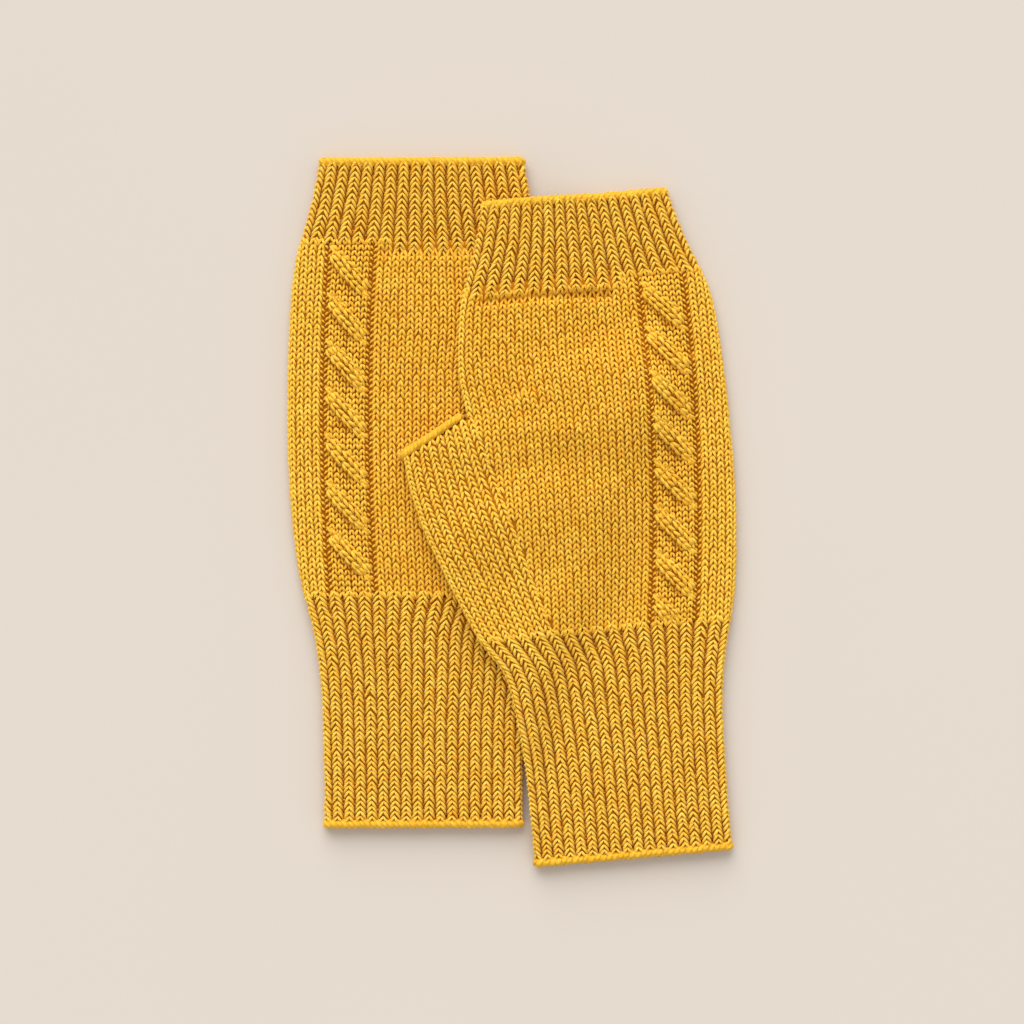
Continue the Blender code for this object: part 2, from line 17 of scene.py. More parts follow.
import bmesh
import bpy
import numpy as np
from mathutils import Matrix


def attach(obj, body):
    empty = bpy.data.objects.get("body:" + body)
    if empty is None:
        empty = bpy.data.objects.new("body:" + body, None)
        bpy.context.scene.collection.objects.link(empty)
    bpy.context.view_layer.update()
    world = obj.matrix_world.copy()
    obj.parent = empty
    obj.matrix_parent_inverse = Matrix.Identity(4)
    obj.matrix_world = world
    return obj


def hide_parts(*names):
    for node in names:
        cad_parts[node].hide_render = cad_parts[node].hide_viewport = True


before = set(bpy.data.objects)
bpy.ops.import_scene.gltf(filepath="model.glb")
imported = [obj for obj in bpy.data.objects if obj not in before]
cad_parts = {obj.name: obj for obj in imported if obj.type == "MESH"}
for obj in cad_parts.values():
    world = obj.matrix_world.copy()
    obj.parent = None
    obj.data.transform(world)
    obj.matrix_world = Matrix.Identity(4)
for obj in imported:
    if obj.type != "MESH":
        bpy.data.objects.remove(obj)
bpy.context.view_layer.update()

MM = 0.001
TINY = 1e-12
Array = np.ndarray
Value = Array | float
log = logging.getLogger("mittens")


def in_mm(*sizes: float) -> tuple[float, ...]:
    """Sizes in metres, from sizes in millimetres."""
    return tuple(size * MM for size in sizes)


class Slot(Enum):
    """The names of the material slots."""

    HAND = "wool_hand"
    RIB = "wool_rib"
    EDGE = "wool_edge"


class Side(Enum):
    """The folded sides of a mitten: beside the cable, beside the hand, and round the thumb."""

    CABLE = "cable"
    HAND = "hand"
    THUMB = "thumb"


@dataclass(frozen=True)
class Section:
    """The outline of a mitten at one place along it, measured from its middle line."""

    along: float
    cable_side: float
    thumb_side: float


@dataclass(frozen=True)
class Fold:
    """A soft fold in the hand's top layer: a ridge, or a trough where its height is below zero.

    It runs from the thumb's side to the cable's, and can fall off more slowly to the wrist.
    """

    across_from: float
    along_from: float
    across_to: float
    along_to: float
    finger_width: float
    wrist_width: float
    height: float

    def rise(self, across: Array, along: Array) -> Array:
        """Height of the fold at places of the mitten.

        Args:
            across: Places towards the thumb.
            along: Places from the wrist to the fingers.

        Returns:
            How far the fold lifts each place, or lowers it.
        """
        run_x, run_y = self.across_to - self.across_from, self.along_to - self.along_from
        dx, dy = across - self.across_from, along - self.along_from
        t = np.clip((dx * run_x + dy * run_y) / (run_x ** 2 + run_y ** 2), 0.0, 1.0)
        to_fingers = run_x * dy - run_y * dx < 0
        width = np.where(to_fingers, self.finger_width, self.wrist_width)
        return self.height * (1 - smooth(np.hypot(dx - run_x * t, dy - run_y * t) / width))


WITH_THUMB = (
    Section(*in_mm(0.0, 36.6, 36.7)),
    Section(*in_mm(20.0, 36.6, 36.7)),
    Section(*in_mm(40.0, 37.1, 37.2)),
    Section(*in_mm(55.0, 37.9, 38.6)),
    Section(*in_mm(66.0, 39.2, 40.0)),
    Section(*in_mm(74.0, 40.7, 42.3)),
    Section(*in_mm(80.0, 42.2, 46.2)),
    Section(*in_mm(86.0, 43.8, 50.2)),
    Section(*in_mm(98.0, 46.2, 55.6)),
    Section(*in_mm(112.0, 47.9, 61.1)),
    Section(*in_mm(126.0, 49.0, 66.4)),
    Section(*in_mm(142.0, 49.6, 70.4)),
    Section(*in_mm(154.0, 49.6, 71.9)),
)
ABOVE_THUMB = (
    Section(*in_mm(165.0, 49.5, 46.9)),
    Section(*in_mm(171.0, 49.4, 47.6)),
    Section(*in_mm(184.0, 48.8, 49.0)),
    Section(*in_mm(197.0, 48.0, 48.0)),
    Section(*in_mm(208.0, 46.3, 46.4)),
    Section(*in_mm(216.0, 43.6, 43.8)),
    Section(*in_mm(230.0, 38.5, 38.6)),
    Section(*in_mm(246.6, 33.6, 34.2)),
)


def smooth(share: Array) -> Array:
    """Rise from 0 to 1 with level ends."""
    t = np.clip(share, 0.0, 1.0)
    return t * t * (3 - 2 * t)


def mix(a: Value, b: Value, share: Value) -> Value:
    """The value a share of the way from a to b."""
    return a + (b - a) * share


def middles(first: int, last: int) -> tuple[float, ...]:
    """The middles of the wales from one number to another."""
    return tuple(k + 0.5 for k in range(first, last))


def read_outline(rows: tuple[Section, ...], along: Array, column: str) -> Array:
    """Read one column of an outline at places along the mitten, as a smooth curve.

    Args:
        rows: The outline, from the wrist towards the fingers.
        along: Places along the mitten.
        column: The name of the column, cable_side or thumb_side.

    Returns:
        The distance from the middle line to that side at each place.
    """
    knots = np.array([row.along for row in rows])
    values = np.array([getattr(row, column) for row in rows])
    spot = np.clip(along, knots[0], knots[-1])
    at = np.clip(np.searchsorted(knots, spot, side="right") - 1, 0, len(rows) - 2)
    before = np.maximum(at - 1, 0)
    after = np.minimum(at + 2, len(rows) - 1)
    span = knots[at + 1] - knots[at]
    t = (spot - knots[at]) / span
    slope_in = (values[at + 1] - values[before]) / (knots[at + 1] - knots[before]) * span
    slope_out = (values[after] - values[at]) / (knots[after] - knots[at]) * span
    rise = values[at + 1] - values[at]
    bend = 3 * rise - 2 * slope_in - slope_out
    twist = slope_in + slope_out - 2 * rise
    return values[at] + t * (slope_in + t * (bend + t * twist))


@dataclass(frozen=True)
class Cloth:
    """Sizes that both mittens share: where the pieces end, and how thick the cloth lies."""

    seam_gap: float = 0.3 * MM
    edge_tall: float = 2.9 * MM
    wrist_rib_top: float = 85.3 * MM
    hand_top: float = 215.7 * MM
    length: float = 246.6 * MM
    flat: float = 5.4 * MM
    roll_proud: float = 0.3 * MM
    roll_deep: float = 2.5 * MM
    roll_flare: float = 0.6 * MM
    rib_count: int = 16
    rib_crest: float = 0.6 * MM
    rib_groove: float = -1.1 * MM
    fold_ribs: int = 2
    under_relief: float = 0.4
    rib_run: float = 4.9 * MM
    rib_run_clear: float = 6.0 * MM
    rib_run_merge: float = 2.2 * MM
    cable_half_width: float = 7.2 * MM
    cable_bed: float = -0.35 * MM
    cable_foot: float = -0.2 * MM
    lane_swell: float = 0.9 * MM
    lobe_height: float = 2.2 * MM
    lobe_half_length: float = 12.2 * MM
    lobe_half_width: float = 3.25 * MM
    lobe_end_width: float = 0.5
    lobe_angle: float = math.radians(42)
    crease_depth: float = 1.5 * MM
    crease_half_width: float = 2.9 * MM
    crease_aside: float = 0.4 * MM
    crease_full: float = 5.0 * MM
    ramp_height: float = 0.7 * MM
    ramp_half_width: float = 2.6 * MM
    channel_width: float = 2.4 * MM
    channel_depth: float = 0.8 * MM
    hand_swell: float = 0.6 * MM
    swell_run: float = 6.0 * MM
    wrist_swell_run: float = 34.0 * MM
    gusset_foot_across: float = 22.0 * MM
    crotch_along: float = 167.6 * MM
    thumb_tip_along: float = 154.2 * MM
    thumb_edge_clear: float = 1.7 * MM
    finger_extra_start: float = 205.0 * MM

    @property
    def hand_start(self) -> float:
        """Where the hand begins, above the wrist rib."""
        return self.wrist_rib_top + self.seam_gap

    @property
    def fold_radius(self) -> float:
        """Radius of the flat tube's folded sides."""
        return self.flat / 2

    @property
    def half_turn(self) -> float:
        """Length of cloth round a folded side."""
        return math.pi * self.fold_radius

    @property
    def fold_pitch(self) -> float:
        """Width of a rib that lies round a folded side."""
        return self.half_turn / self.fold_ribs

    @property
    def cable_reach(self) -> float:
        """From the cable's middle to the outer side of its purl channels."""
        return self.cable_half_width + self.channel_width


CLOTH = Cloth()


def rib_relief(wale: Array) -> Array:
    """Height of the ribs, whose crests lie at the half numbers and whose grooves at the whole."""
    return mix(CLOTH.rib_groove, CLOTH.rib_crest, 0.5 - 0.5 * np.cos(2 * math.pi * wale))


@dataclass
class Drape:
    """How the upper mitten comes down from the lower one to the surface beside it.

    The heights are worked out once on a fine grid of places, and read from it afterwards.
    """

    lift: float = CLOTH.flat + CLOTH.hand_swell + 0.8 * MM
    margin: float = 1.0 * MM
    near_fingers: float = 26.0 * MM
    at_wrist: float = 5.0 * MM
    wrist_along: float = 10.0 * MM
    full_along: float = 95.0 * MM
    soften: int = 8
    step: float = 0.5 * MM
    reach: float = 160.0 * MM
    outline_points: int = 24
    heights: Array = field(default_factory=lambda: np.zeros((2, 2)))

    def outline(self, lower: "Mitten") -> Array:
        """The flat outline of the whole lower mitten, once round, as across and along.

        Args:
            lower: The mitten that lies below.

        Returns:
            The corners of the outline.
        """
        low = np.linspace(0.0, CLOTH.thumb_tip_along, self.outline_points)
        high = np.linspace(CLOTH.crotch_along, CLOTH.length, self.outline_points)
        crotch, tip = lower.thumb_edge_line()
        both = np.concatenate([low, high])[::-1]
        thumb = np.stack([lower.side(Side.THUMB, low), low], axis=-1)
        hand = np.stack([lower.side(Side.HAND, high), high], axis=-1)
        cable = np.stack([-lower.side(Side.CABLE, both), both], axis=-1)
        return np.concatenate([thumb, [tip], [crotch], hand, cable])

    def outside(self, lower: "Mitten", across: Array, along: Array) -> Array:
        """How far each place lies outside the lower mitten's outline, or 0 inside it.

        Args:
            lower: The mitten that lies below.
            across: Places towards the thumb.
            along: Places from the wrist to the fingers.

        Returns:
            The distance to the outline from outside it.
        """
        corners = self.outline(lower)
        inside = np.zeros(across.shape, bool)
        nearest = np.full(across.shape, np.inf)
        for (ax, ay), (bx, by) in zip(corners, np.roll(corners, -1, axis=0)):
            if ay != by:
                crossed = (ay > along) != (by > along)
                inside ^= crossed & (across < ax + (along - ay) * (bx - ax) / (by - ay))
            ux, uy = bx - ax, by - ay
            squared = max(ux * ux + uy * uy, TINY)
            t = np.clip(((across - ax) * ux + (along - ay) * uy) / squared, 0.0, 1.0)
            nearest = np.minimum(nearest, np.hypot(ax + t * ux - across, ay + t * uy - along))
        return np.where(inside, 0.0, nearest)

    def settle(self, lower: "Mitten") -> None:
        """Work out the height at each place of the grid, softened over its neighbours.

        Args:
            lower: The mitten that lies below.
        """
        line = np.arange(-self.reach, self.reach + self.step, self.step)
        x, y = np.meshgrid(line, line, indexing="ij")
        across, along = lower.from_world(x, y)
        outside = np.maximum(self.outside(lower, across, along) - self.margin, 0.0)
        share = (along - self.wrist_along) / (self.full_along - self.wrist_along)
        run = mix(self.at_wrist, self.near_fingers, smooth(share))
        sharp = self.lift * (1 - smooth(outside / run))
        shifts = (-self.soften, 0, self.soften)
        soft = [np.roll(sharp, (i, j), axis=(0, 1)) for i in shifts for j in shifts]
        self.heights = sum(soft) / len(soft)

    def height(self, x: Array, y: Array) -> Array:
        """Height of the upper mitten's underside at places of the pair's frame.

        Args:
            x: Places in X of the pair's frame.
            y: Places in Y of the pair's frame.

        Returns:
            The heights over the surface that the pair lies on.
        """
        grid = self.heights
        limit = len(grid) - 1 - TINY
        i = np.clip((x + self.reach) / self.step, 0.0, limit)
        j = np.clip((y + self.reach) / self.step, 0.0, limit)
        i0, j0 = i.astype(int), j.astype(int)
        di, dj = i - i0, j - j0
        low = mix(grid[i0, j0], grid[i0 + 1, j0], di)
        high = mix(grid[i0, j0 + 1], grid[i0 + 1, j0 + 1], di)
        return mix(low, high, dj)


@dataclass(frozen=True)
class Mitten:
    """One mitten: where it lies, how it leans in degrees, and where its cable runs."""

    name: str
    wrist_x: float
    wrist_y: float
    lean: float
    thumb_to: int
    stretch: float
    finger_extra: float
    cable_low: float
    cable_high: float
    cable_bow: float
    crossing: float
    first_crossing: float
    folds: tuple[Fold, ...]
    drape: Drape | None = None

    def extra(self, along: Array) -> Array:
        """How much wider this mitten's finger end lies than the pattern."""
        share = (along - CLOTH.finger_extra_start) / (CLOTH.length - CLOTH.finger_extra_start)
        return self.finger_extra * np.clip(share, 0.0, 1.0)

    def side(self, side: Side, along: Array) -> Array:
        """Distance from the middle line to one of the folded sides.

        Args:
            side: The folded side.
            along: Places from the wrist to the fingers.

        Returns:
            The distances, all above zero.
        """
        if side is Side.THUMB:
            return read_outline(WITH_THUMB, along, "thumb_side")
        if side is Side.HAND:
            return read_outline(ABOVE_THUMB, along, "thumb_side") + self.extra(along)
        return read_outline(WITH_THUMB + ABOVE_THUMB, along, "cable_side") + self.extra(along)

    def fold_start(self, side: Side, along: Array) -> Array:
        """Distance from the middle line to where the front layer starts to turn under."""
        return self.side(side, along) - CLOTH.fold_radius

    def crotch_across(self) -> float:
        """Where the front layer ends above the thumb, at the crotch."""
        return float(self.fold_start(Side.HAND, np.array(CLOTH.crotch_along)))

    def gusset_line(self, along: Array) -> Array:
        """The inner side of the thumb gusset, from its foot at the cuff up to the crotch."""
        t = (along - CLOTH.wrist_rib_top) / (CLOTH.crotch_along - CLOTH.wrist_rib_top)
        return mix(CLOTH.gusset_foot_across, self.crotch_across(), t)

    def palm_end(self, along: Array) -> Array:
        """Where the palm's front layer ends: the gusset line, and above it the hand's fold."""
        below = along <= CLOTH.crotch_along
        return np.where(below, self.gusset_line(along), self.fold_start(Side.HAND, along))

    def cable_middle(self, along: Array) -> Array:
        """Where the cable's middle lies across the mitten."""
        t = (along - CLOTH.wrist_rib_top) / (CLOTH.hand_top - CLOTH.wrist_rib_top)
        return mix(self.cable_low, self.cable_high, t) + self.cable_bow * 4 * t * (1 - t)

    def rib_run_from(self, along: Array) -> Array:
        """Where across the palm the finger rib starts to run on below the seam."""
        return self.cable_middle(along) + CLOTH.cable_reach + CLOTH.rib_run_clear

    def thumb_edge_line(self) -> tuple[Array, Array]:
        """The crotch and tip ends of the thumb opening's outer line, past its rolled edge.

        Returns:
            The crotch's corner and the tip's, each as across and along.
        """
        places = np.array([CLOTH.crotch_along, CLOTH.thumb_tip_along])
        crotch = np.array([self.side(Side.HAND, places[:1])[0], places[0]])
        tip = np.array([self.side(Side.THUMB, places[1:])[0], places[1]])
        ahead = (tip - crotch) / np.linalg.norm(tip - crotch)
        outward = np.array([-ahead[1], ahead[0]]) * (CLOTH.seam_gap + CLOTH.edge_tall)
        return crotch + outward, tip + outward

    def from_world(self, x: Array, y: Array) -> tuple[Array, Array]:
        """Turn the pair's X and Y into across and along.

        Args:
            x: Places in X of the pair's frame.
            y: Places in Y of the pair's frame.

        Returns:
            Places across and along this mitten.
        """
        lean = math.radians(self.lean)
        dx, dy = x - self.wrist_x, y - self.wrist_y
        side = dx * math.cos(lean) + dy * math.sin(lean)
        ahead = dy * math.cos(lean) - dx * math.sin(lean)
        return side * self.thumb_to, ahead / self.stretch

    def base_height(self, x: Array, y: Array) -> Array:
        """Height of what the mitten lies on."""
        return self.drape.height(x, y) if self.drape else np.zeros(np.shape(x))

    def place(self, across: Array, along: Array, height: Value) -> Array:
        """Points of the pair's frame, draped on what the mitten lies on.

        Args:
            across: Places towards the thumb.
            along: Places from the wrist to the fingers.
            height: Heights over what the mitten lies on.

        Returns:
            An array with one more axis, for X, Y and Z.
        """
        lean = math.radians(self.lean)
        side, ahead = across * self.thumb_to, along * self.stretch
        x = self.wrist_x + side * math.cos(lean) - ahead * math.sin(lean)
        y = self.wrist_y + side * math.sin(lean) + ahead * math.cos(lean)
        return np.stack([x, y, self.base_height(x, y) + height], axis=-1)

    def wrap(self, side: Side, turn: Array, along: Array, out: Value) -> Array:
        """Points on the flat tube, on its front, round a folded side or on its back.

        Args:
            side: The folded side that the places are measured from.
            turn: Length of cloth from where the front starts to turn under. It is below zero on
                the front, and past a half turn on the back.
            along: Places from the wrist to the fingers.
            out: How far the points lie out of the tube's plain surface.

        Returns:
            The points in the pair's frame.
        """
        bend = np.clip(turn, 0.0, CLOTH.half_turn) / CLOTH.fold_radius
        front, back = np.minimum(turn, 0.0), np.maximum(turn - CLOTH.half_turn, 0.0)
        reach = CLOTH.fold_radius + out
        across = self.fold_start(side, along) + front - back + reach * np.sin(bend)
        height = CLOTH.fold_radius + reach * np.cos(bend)
        sign = -1 if side is Side.CABLE else 1
        return self.place(sign * across, along, height)

    def front(self, across: Array, along: Array, out: Value) -> Array:
        """Points on the hand's front layer.

        Args:
            across: Places towards the thumb.
            along: Places from the wrist to the fingers.
            out: How far the points lie out of the hand's swelling surface.

        Returns:
            The points in the pair's frame.
        """
        turn = across - self.fold_start(Side.HAND, along)
        return self.wrap(Side.HAND, turn, along, self.hand_relief(across, along) + out)

    def back(self, across: Array, along: Array, out: Value) -> Array:
        """Points on the hand's back layer, at places across and along that the front has too."""
        turn = CLOTH.half_turn + self.fold_start(Side.HAND, along) - across
        return self.wrap(Side.HAND, turn, along, out)

    def hand_relief(self, across: Array, along: Array) -> Array:
        """How far the hand's front layer swells out, with its soft folds, without the cable.

        Args:
            across: Places towards the thumb.
            along: Places from the wrist to the fingers.

        Returns:
            The height over the flat tube, nothing at the layer's edges.
        """
        below = along <= CLOTH.crotch_along
        thumb = np.where(below, self.side(Side.THUMB, along), self.side(Side.HAND, along))
        side = np.where(across > 0, thumb, self.side(Side.CABLE, along))
        from_side = side - CLOTH.fold_radius - np.abs(across)
        rise = smooth((along - CLOTH.hand_start) / CLOTH.wrist_swell_run)
        rise = rise * smooth((CLOTH.hand_top - along) / CLOTH.swell_run)
        rise = rise * smooth(from_side / CLOTH.swell_run)
        total = np.full(np.shape(across), CLOTH.hand_swell)
        for fold in self.folds:
            total = total + fold.rise(across, along)
        return rise * total

    def lobe_numbers(self) -> range:
        """The numbers of the cable's lobes, from the fingers down."""
        return range(int((self.first_crossing - CLOTH.wrist_rib_top) / self.crossing) + 1)

    def on_lobe(self, number: int, across: Array, along: Array) -> tuple[Array, Array]:
        """Where a place lies on a cable lobe: down along it, and aside to its upper right.

        Args:
            number: The lobe's number, from the fingers down.
            across: Places towards the thumb.
            along: Places from the wrist to the fingers.

        Returns:
            How far down along the lobe the places lie, and how far aside.
        """
        right = self.thumb_to * (across - self.cable_middle(along))
        down = self.first_crossing - number * self.crossing - along
        sine, cosine = math.sin(CLOTH.lobe_angle), math.cos(CLOTH.lobe_angle)
        return right * sine + down * cosine, right * cosine - down * sine

    def lobe_place(self, number: int, down: Array, aside: Array) -> tuple[Array, Array]:
        """The place across and along the mitten of a place on a cable lobe.

        Args:
            number: The lobe's number, from the fingers down.
            down: Places down along the lobe, from its middle.
            aside: Places to the lobe's upper right, from its middle line.

        Returns:
            The places across and along.
        """
        sine, cosine = math.sin(CLOTH.lobe_angle), math.cos(CLOTH.lobe_angle)
        along = self.first_crossing - number * self.crossing - (down * cosine - aside * sine)
        return self.cable_middle(along) + self.thumb_to * (down * sine + aside * cosine), along

    def lobe_width(self, down: Array) -> Array:
        """Half the width of a lobe, which tapers to its ends."""
        from_middle = np.clip(np.abs(down) / CLOTH.lobe_half_length, 0.0, 1.0)
        return CLOTH.lobe_half_width * mix(1.0, CLOTH.lobe_end_width, from_middle ** 3)

    def lobe_rise(self, down: Array, aside: Array) -> Array:
        """Height of a lobe's rounded back, which comes up at one end and dives at the other.

        Args:
            down: Places down along the lobe, from its middle.
            aside: Places to the lobe's upper right, from its middle line.

        Returns:
            The height, nothing at the lobe's ends and sides.
        """
        from_middle = np.clip(np.abs(down) / CLOTH.lobe_half_length, 0.0, 1.0)
        width = np.clip(1 - (aside / self.lobe_width(down)) ** 2, 0.0, 1.0)
        return CLOTH.lobe_height * (1 - from_middle ** 2) * np.sqrt(width)

    def lane_rise(self, across: Array, along: Array) -> Array:
        """Height of the cable's two lanes between the lobes.

        They sink to a crease along each lobe's lower left side and swell up to its other side.

        Args:
            across: Places towards the thumb.
            along: Places from the wrist to the fingers.

        Returns:
            The height over the cable's bed.
        """
        share = (across - self.cable_middle(along)) / CLOTH.cable_half_width
        rise = CLOTH.lane_swell * np.sqrt(np.clip(1 - (2 * np.abs(share) - 1) ** 2, 0.0, 1.0))
        for number in self.lobe_numbers():
            down, aside = self.on_lobe(number, across, along)
            past = np.abs(down) - CLOTH.crease_full
            ends = 1 - smooth(past / (CLOTH.lobe_half_length - CLOTH.crease_full))
            middle = CLOTH.lobe_half_width + CLOTH.crease_aside
            crease = np.abs(aside + middle) / CLOTH.crease_half_width
            ramp = np.abs(aside - CLOTH.lobe_half_width) / CLOTH.ramp_half_width
            rise = rise - CLOTH.crease_depth * ends * (1 - smooth(crease))
            rise = rise + CLOTH.ramp_height * ends * (1 - smooth(ramp))
        return rise

    def cable_ends(self, along: Array, rise: Array) -> Array:
        """The cable's relief, brought down to the bands at the hand's ends."""
        from_end = np.minimum(along - CLOTH.wrist_rib_top, CLOTH.hand_top - along)
        return mix(CLOTH.cable_foot, CLOTH.cable_bed + rise, smooth(from_end / CLOTH.swell_run))

    def cable_relief(self, across: Array, along: Array) -> Array:
        """Height of the rope cable and depth of its purl channels, over the hand's relief.

        Args:
            across: Places towards the thumb.
            along: Places from the wrist to the fingers.

        Returns:
            The height to be added, nothing beside the channels.
        """
        offset = across - self.cable_middle(along)
        rise = self.lane_rise(across, along)
        for number in self.lobe_numbers():
            rise = np.maximum(rise, self.lobe_rise(*self.on_lobe(number, across, along)))
        half = CLOTH.channel_width / 2
        channel = np.abs(np.abs(offset) - CLOTH.cable_half_width - half) / half
        sunk = -CLOTH.channel_depth * (1 - smooth(channel))
        outside = np.where(np.abs(offset) < CLOTH.cable_reach, sunk, 0.0)
        on_cable = np.abs(offset) < CLOTH.cable_half_width
        return np.where(on_cable, self.cable_ends(along, rise), outside)


UNDER = Mitten(
    name="under",
    wrist_x=-32.83 * MM,
    wrist_y=-116.95 * MM,
    lean=0.2,
    thumb_to=1,
    stretch=1.007,
    finger_extra=3.6 * MM,
    cable_low=-26.0 * MM,
    cable_high=-25.8 * MM,
    cable_bow=-2.2 * MM,
    crossing=17.27 * MM,
    first_crossing=204.4 * MM,
    folds=(
        Fold(*in_mm(46.0, 166.0, -10.0, 196.0, 13.0, 30.0, 1.0)),
        Fold(*in_mm(30.0, 96.0, -8.0, 128.0, 12.0, 12.0, 0.9)),
        Fold(*in_mm(42.0, 212.0, -14.0, 212.5, 3.6, 3.6, -2.2)),
    ),
)
OVER = Mitten(
    name="over",
    wrist_x=45.17 * MM,
    wrist_y=-128.35 * MM,
    lean=5.08,
    thumb_to=-1,
    stretch=1.0,
    finger_extra=0.0 * MM,
    cable_low=-22.2 * MM,
    cable_high=-28.7 * MM,
    cable_bow=-2.8 * MM,
    crossing=16.55 * MM,
    first_crossing=202.8 * MM,
    folds=(
        Fold(*in_mm(10.3, 176.8, -17.6, 180.9, 18.0, 36.0, 3.7)),
        Fold(*in_mm(46.7, 160.2, 13.6, 160.9, 9.0, 16.0, 1.6)),
        Fold(*in_mm(2.5, 161.4, -16.0, 163.4, 9.0, 24.0, 1.2)),
        Fold(*in_mm(44.1, 127.6, 14.0, 136.0, 18.0, 26.0, 2.7)),
        Fold(*in_mm(8.5, 156.1, -21.0, 157.1, 20.0, 52.0, 1.0)),
        Fold(*in_mm(37.5, 210.1, 23.9, 210.0, 3.4, 3.4, -2.4)),
        Fold(*in_mm(20.2, 210.4, -9.0, 208.9, 3.6, 3.6, -2.7)),
    ),
    drape=Drape(),
)


@dataclass(frozen=True)
class Strand:
    """The form of one visible length of yarn in a stitch.

    Its middle line is given in stitches, across and up from the stitch's middle, and its depth
    and thickness are given in metres, at the same points.
    """

    across: tuple[float, ...]
    up: tuple[float, ...]
    out: tuple[float, ...]
    half_width: tuple[float, ...]
    half_depth: tuple[float, ...]
    sides: int = 5
    paired: bool = True


PLAIN_LEG = Strand(
    across=(0.06, 0.16, 0.32, 0.43),
    up=(0.74, 0.27, -0.27, -0.74),
    out=in_mm(-0.80, 0.0, 0.0, -0.95),
    half_width=in_mm(0.32, 0.54, 0.52, 0.28),
    half_depth=in_mm(0.30, 0.50, 0.50, 0.30),
)
HIDDEN_LEG = Strand(
    across=(0.06, 0.25, 0.44),
    up=(0.55, 0.0, -0.55),
    out=in_mm(-0.75, -0.45, -0.75),
    half_width=in_mm(0.36, 0.62, 0.36),
    half_depth=in_mm(0.30, 0.46, 0.30),
    sides=3,
)
RIB_LEG = Strand(
    across=(0.05, 0.16, 0.32, 0.46),
    up=(0.84, 0.30, -0.30, -0.84),
    out=in_mm(-0.60, 0.10, 0.10, -0.35),
    half_width=in_mm(0.34, 0.58, 0.56, 0.30),
    half_depth=in_mm(0.30, 0.50, 0.48, 0.28),
)
HIDDEN_RIB_LEG = Strand(
    across=(0.04, 0.19, 0.34),
    up=(0.55, 0.0, -0.55),
    out=in_mm(-0.75, -0.45, -0.75),
    half_width=in_mm(0.36, 0.60, 0.36),
    half_depth=in_mm(0.30, 0.46, 0.30),
    sides=3,
)
GROOVE_BUMP = Strand(
    across=(-0.17, 0.0, 0.17),
    up=(-0.14, 0.12, -0.14),
    out=in_mm(-1.00, -0.80, -1.00),
    half_width=in_mm(0.26, 0.40, 0.26),
    half_depth=in_mm(0.22, 0.34, 0.22),
    sides=5,
    paired=False,
)
PURL_NEAR = Strand(
    across=(-0.56, -0.34, -0.06),
    up=(0.30, 0.10, -0.22),
    out=in_mm(-0.45, 0.0, -0.50),
    half_width=in_mm(0.30, 0.46, 0.30),
    half_depth=in_mm(0.28, 0.42, 0.28),
    paired=False,
)
PURL_FAR = Strand(
    across=(0.06, 0.34, 0.56),
    up=(0.28, 0.60, 0.80),
    out=in_mm(-0.50, 0.0, -0.45),
    half_width=in_mm(0.30, 0.46, 0.30),
    half_depth=in_mm(0.28, 0.42, 0.28),
    paired=False,
)
LANE_LEG = Strand(
    across=(0.09, 0.17, 0.31, 0.41),
    up=(0.54, 0.22, -0.22, -0.54),
    out=in_mm(-0.50, 0.0, 0.0, -0.55),
    half_width=in_mm(0.28, 0.50, 0.50, 0.28),
    half_depth=in_mm(0.28, 0.46, 0.46, 0.28),
)
LOBE_LEG = Strand(
    across=(0.12, 0.20, 0.29, 0.38),
    up=(0.62, 0.24, -0.24, -0.62),
    out=in_mm(-0.70, 0.0, 0.0, -0.75),
    half_width=in_mm(0.28, 0.66, 0.66, 0.28),
    half_depth=in_mm(0.26, 0.50, 0.50, 0.26),
)
ROLL_STRAND = Strand(
    across=(-0.18, -0.09, 0.0, 0.09, 0.18),
    up=(0.50, 0.25, 0.0, -0.25, -0.50),
    out=in_mm(-0.25, -0.08, 0.0, -0.08, -0.25),
    half_width=in_mm(0.40, 0.78, 0.86, 0.78, 0.40),
    half_depth=in_mm(0.28, 0.42, 0.48, 0.42, 0.28),
    paired=False,
)


@dataclass(frozen=True)
class Knitting:
    """A stretch of knitting: turns wale and row numbers into points of a mitten."""

    mitten: Mitten
    start: float
    end: float
    rows: int

    def point(self, wale: Array, row: Array, out: float = 0.0) -> Array:
        """The point at a place counted in wales and rows, moved out of the cloth."""
        raise NotImplementedError

    def along(self, row: Array) -> Array:
        """The place along the mitten of a row."""
        return mix(self.start, self.end, row / self.rows)

    def kept(self, wale: Array, row: Array) -> Array:
        """Which stitches the stretch has: here all of them."""
        return np.ones(wale.shape, bool)

    def stitches(self, wales: tuple[float, ...]) -> tuple[Array, Array]:
        """The middles of the stitches that some wales have.

        Args:
            wales: The wale numbers.

        Returns:
            The wale number and the row number of each stitch.
        """
        wale, row = np.meshgrid(np.array(wales, float), np.arange(self.rows) + 0.5, indexing="ij")
        inside = self.kept(wale, row)
        return wale[inside], row[inside]


